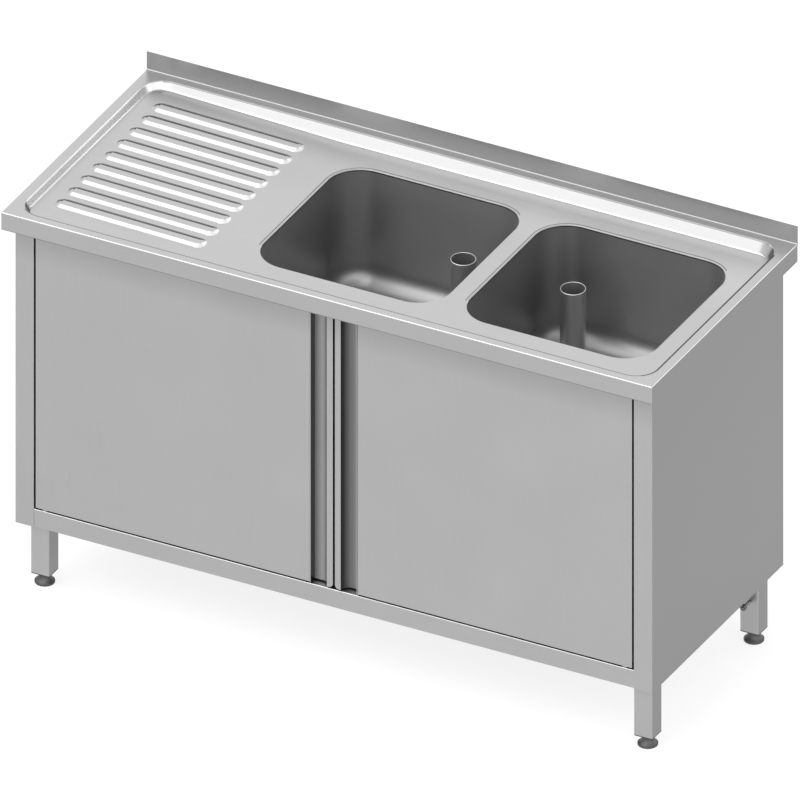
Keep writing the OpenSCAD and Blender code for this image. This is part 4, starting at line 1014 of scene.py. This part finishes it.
class SINK_OT_carcass(bpy.types.Operator):
    """Make the folded sides and the base shelf, and finish the rails and the back"""
    bl_idname = "sink.carcass"
    bl_label = "Make the carcass"

    def execute(self, context):
        low, high = extent("right_side_panel")
        shelf = extent("base_shelf")[1][2]
        right = side_shells(high[0], low[2], high[2], shelf)
        # The right side's outer face takes painted shade, and the panel steel painted shade under the
        # worktop.
        make_piece("right_side_folded", right, "cabinet", "right_side_panel", ["Panel steel", "Side steel"],
                   marks=lambda p, n: (n[:, 0] > 0.9) & (p[:, 0] > high[0] - 0.5))
        make_piece("left_side_folded", [mirrored(s) for s in right], "cabinet", "left_side_panel",
                   ["Panel steel"])
        # The rail's edge under the doors takes a painted shadow.
        make_piece("base_shelf_folded", shelf_shells(low[2], shelf), "cabinet", "base_shelf",
                   ["Rail steel", "Deep crease"], marks=shelf_shadow_marks)
        dress("Rail steel", "front_top_rail", "rear_top_rail", "worktop_stiffeners")
        dress("Panel steel", "back_panel")
        return {"FINISHED"}


class SINK_OT_doors(bpy.types.Operator):
    """Make the doors' folded skins and handle strips, and finish what they carry"""
    bl_idname = "sink.doors"
    bl_label = "Make the doors"

    def execute(self, context):
        low, high = extent("left_door")
        skin = slab(low, high, r=1.5)
        handle = handle_shell(low[2], high[2], corner=8.5)
        for side, turn in (("left", lambda shell: shell), ("right", mirrored)):
            # The skins take painted shade under the worktop, and the handles' recesses painted shade.
            make_piece(f"{side}_door_skin", [turn(skin)], f"{side}_door", f"{side}_door", ["Panel steel"])
            make_piece(f"{side}_handle_strip", [turn(handle)], f"{side}_door", f"{side}_handle",
                       ["Panel steel", f"{side.title()} grip steel", "Grip wall steel"], marks=grip_shade_marks)
            dress("Panel steel", f"{side}_door_liner", f"{side}_door_stiffener", f"{side}_strike_plate")
            dress("Fastener steel", f"{side}_hinge_pins")
            dress("Black plastic", f"{side}_hinge_blocks")
        dress("Black plastic", "magnetic_catches")
        dress("Pipe grey", "hinge_bushes")
        return {"FINISHED"}


class SINK_OT_legs(bpy.types.Operator):
    """Make the legs and the levelling feet"""
    bl_idname = "sink.legs"
    bl_label = "Make the legs and feet"

    def execute(self, context):
        plate, neck_top = 3.0, 25.0
        for place in ("front_left", "front_right", "rear_left", "rear_right"):
            low, high = extent(f"{place}_leg")
            x, y = (low + high)[:2] / 2
            # The legs' tops and right faces take painted shade.
            make_piece(f"{place}_leg_tube", leg_shells(x, y, low[2], high[2] - plate, high[2]), "cabinet",
                       f"{place}_leg", ["Leg steel", "Side steel"], marks=lambda p, n: n[:, 0] > 0.9)
            stem_top = extent(f"{place}_foot")[1][2]
            make_piece(f"{place}_foot_turned", [foot_shell(x, y, neck_top, stem_top)], f"{place}_foot",
                       f"{place}_foot", ["Foot grey"])
            dress("Black plastic", f"{place}_plug")
        dress("Fastener steel", "leg_bolts", "leg_nuts", "rail_screws")
        return {"FINISHED"}


class SINK_OT_earthing(bpy.types.Operator):
    """Make the threaded earthing stud with its nut and washer"""
    bl_idname = "sink.earthing"
    bl_label = "Make the earthing stud"

    def execute(self, context):
        low, high = extent("earthing_stud")
        x, z = (low + high)[[0, 2]] / 2
        r, chamfer = 3.0, 0.6
        profile = np.concatenate([
            [[0.0, low[1]], [r - chamfer, low[1]]],
            thread(r, low[1] + chamfer, high[1], pitch=1.0, depth=0.35),
            [[0.0, high[1]]],
        ])
        stud = turned(profile, (x, 0, z), "y", steps=32)
        # The stud and its nut take painted shade.
        make_piece("earthing_stud_thread", [stud], "cabinet", "earthing_stud", ["Stud steel"])
        dress("Stud steel", "earthing_nut")
        return {"FINISHED"}


class SINK_OT_pipes(bpy.types.Operator):
    """Finish the waste pipes and the trap"""
    bl_idname = "sink.pipes"
    bl_label = "Make the waste pipes"

    def execute(self, context):
        dress("Pipe grey", "lock_nuts", "slip_nuts", "waste_elbow", "crossover_pipe", "waste_tee",
              "pipe_couplings", "trap_body", "trap_cup", "outlet_pipe")
        return {"FINISHED"}


# Studio, in metres

FLOOR_HALF = 9.0
AIM_RIGHT, AIM_HEIGHT = 0.0012, 0.4682
VIEW_DISTANCE, LAMP_DISTANCE = 6, 4
LIGHTS = {
    "Key": (-0.4, -0.3, 0.86),
    "Front": (0.12, -0.88, 0.46),
    "Rear": (-0.4, 0.76, 0.51),
    "Edge": (0.5, 0.76, 0.4),
    "Side": (0.85, -0.25, 0.4),
}


def seen_or_mirrored(tree):
    """1 for rays from the camera, from gloss or through glass, otherwise 0."""
    path = added(tree, "LightPath", {})
    both = joined(tree, path["Is Camera Ray"], path["Is Glossy Ray"], "MAXIMUM")
    return joined(tree, both, path["Is Transmission Ray"], "MAXIMUM")


def aimed(obj, toward):
    """Turns an object so that its -Z axis lies along toward."""
    back = -np.asarray(toward, float)
    back /= np.linalg.norm(back)
    obj.rotation_euler = (math.acos(back[2]), 0, math.atan2(back[1], back[0]) + math.pi / 2)


def studio_floor(s):
    """A level square whose pale finish is lifted to white for the rays that see it."""
    mesh = bpy.data.meshes.new("studio_floor")
    corners = np.array([[-1, -1, 0], [1, -1, 0], [1, 1, 0], [-1, 1, 0]], float) * FLOOR_HALF
    mesh.from_pydata(corners.tolist(), [], [(0, 1, 2, 3)])
    floor = bpy.data.objects.new("studio_floor", mesh)
    bpy.context.scene.collection.objects.link(floor)
    made, tree, shader = new_material("Studio floor")
    cloudy = noise(tree, (0.7, 0.7, 0.7), 2.0, 0.5)
    shade = tint(tree, cloudy, (s.floor,) * 3, 0.02)
    lift = joined(tree, seen_or_mirrored(tree), s.glow, "MULTIPLY")
    fill(tree, shader, {"Base Color": shade, "Roughness": 0.9, "Specular IOR Level": 0.0,
                        "Emission Color": (1, 1, 1, 1), "Emission Strength": lift})
    mesh.materials.append(made)


def studio_sky(s):
    """Even light all round, which is white for the rays that see it."""
    world = bpy.data.worlds.new("Studio")
    bpy.context.scene.world = world
    world.use_nodes = True
    tree = world.node_tree
    level = added(tree, "Mix", {"A": s.sky, "B": 1.0, "Factor": seen_or_mirrored(tree)}, data_type="FLOAT")
    fill(tree, tree.nodes["Background"], {"Strength": level["Result"], "Color": (1, 1, 1, 1)})


def studio_light(s, name, way):
    """Broad light that comes from the direction way."""
    data = bpy.data.lights.new(name, "SUN")
    data.energy, data.angle = getattr(s, name.lower()), getattr(s, f"{name.lower()}_spread")
    lamp = bpy.data.objects.new(name, data)
    bpy.context.scene.collection.objects.link(lamp)
    aimed(lamp, -np.array(way))
    lamp.location = LAMP_DISTANCE * np.array(way)


def studio_view(s):
    """Parallel view from the photo's side, aimed at the middle of its picture."""
    data = bpy.data.cameras.new("View")
    data.type, data.ortho_scale = "ORTHO", s.width
    data.clip_start, data.clip_end = 0.1, 40
    camera = bpy.data.objects.new("View", data)
    bpy.context.scene.collection.objects.link(camera)
    a, e = s.azimuth, s.elevation
    back = np.array([math.sin(a) * math.cos(e), -math.cos(a) * math.cos(e), math.sin(e)])
    aimed(camera, -back)
    middle = np.array([AIM_RIGHT * math.cos(a), AIM_RIGHT * math.sin(a), AIM_HEIGHT])
    camera.location = middle + back * VIEW_DISTANCE
    bpy.context.scene.camera = camera


class SINK_OT_studio(bpy.types.Operator):
    """Make the floor, the lights and the camera"""
    bl_idname = "sink.studio"
    bl_label = "Make the studio"

    def execute(self, context):
        s = context.scene.sink_studio
        context.scene.view_settings.view_transform = "Standard"
        studio_floor(s)
        studio_sky(s)
        for name, way in LIGHTS.items():
            studio_light(s, name, way)
        studio_view(s)
        return {"FINISHED"}


class SINK_PT_panel(bpy.types.Panel):
    """Lists the pieces of the sink cabinet and their settings"""
    bl_idname = "SINK_PT_panel"
    bl_label = "Sink cabinet"
    bl_space_type = "VIEW_3D"
    bl_region_type = "UI"
    bl_category = "Sink cabinet"

    def draw(self, context):
        for settings in SETTINGS:
            box = self.layout.box()
            box.label(text=settings.removeprefix("sink_").capitalize())
            values = getattr(context.scene, settings)
            for key in values.__annotations__:
                box.prop(values, key)
        for operator in MAKERS:
            self.layout.operator(operator.bl_idname)


SETTINGS = {
    "sink_worktop": SinkWorktopSettings,
    "sink_bowls": SinkBowlSettings,
    "sink_finish": SinkFinishSettings,
    "sink_studio": SinkStudioSettings,
}
MAKERS = (SINK_OT_worktop, SINK_OT_bowls, SINK_OT_wastes, SINK_OT_carcass, SINK_OT_doors, SINK_OT_legs,
          SINK_OT_earthing, SINK_OT_pipes, SINK_OT_studio)


def register():
    for cls in (*SETTINGS.values(), *MAKERS, SINK_PT_panel):
        bpy.utils.register_class(cls)
    for name, cls in SETTINGS.items():
        setattr(bpy.types.Scene, name, bpy.props.PointerProperty(type=cls))


def unregister():
    for name in SETTINGS:
        delattr(bpy.types.Scene, name)
    for cls in reversed((*SETTINGS.values(), *MAKERS, SINK_PT_panel)):
        bpy.utils.unregister_class(cls)


def main():
    register()
    for operator in MAKERS:
        group, name = operator.bl_idname.split(".")
        getattr(getattr(bpy.ops, group), name)()


if __name__ == "__main__":
    main()
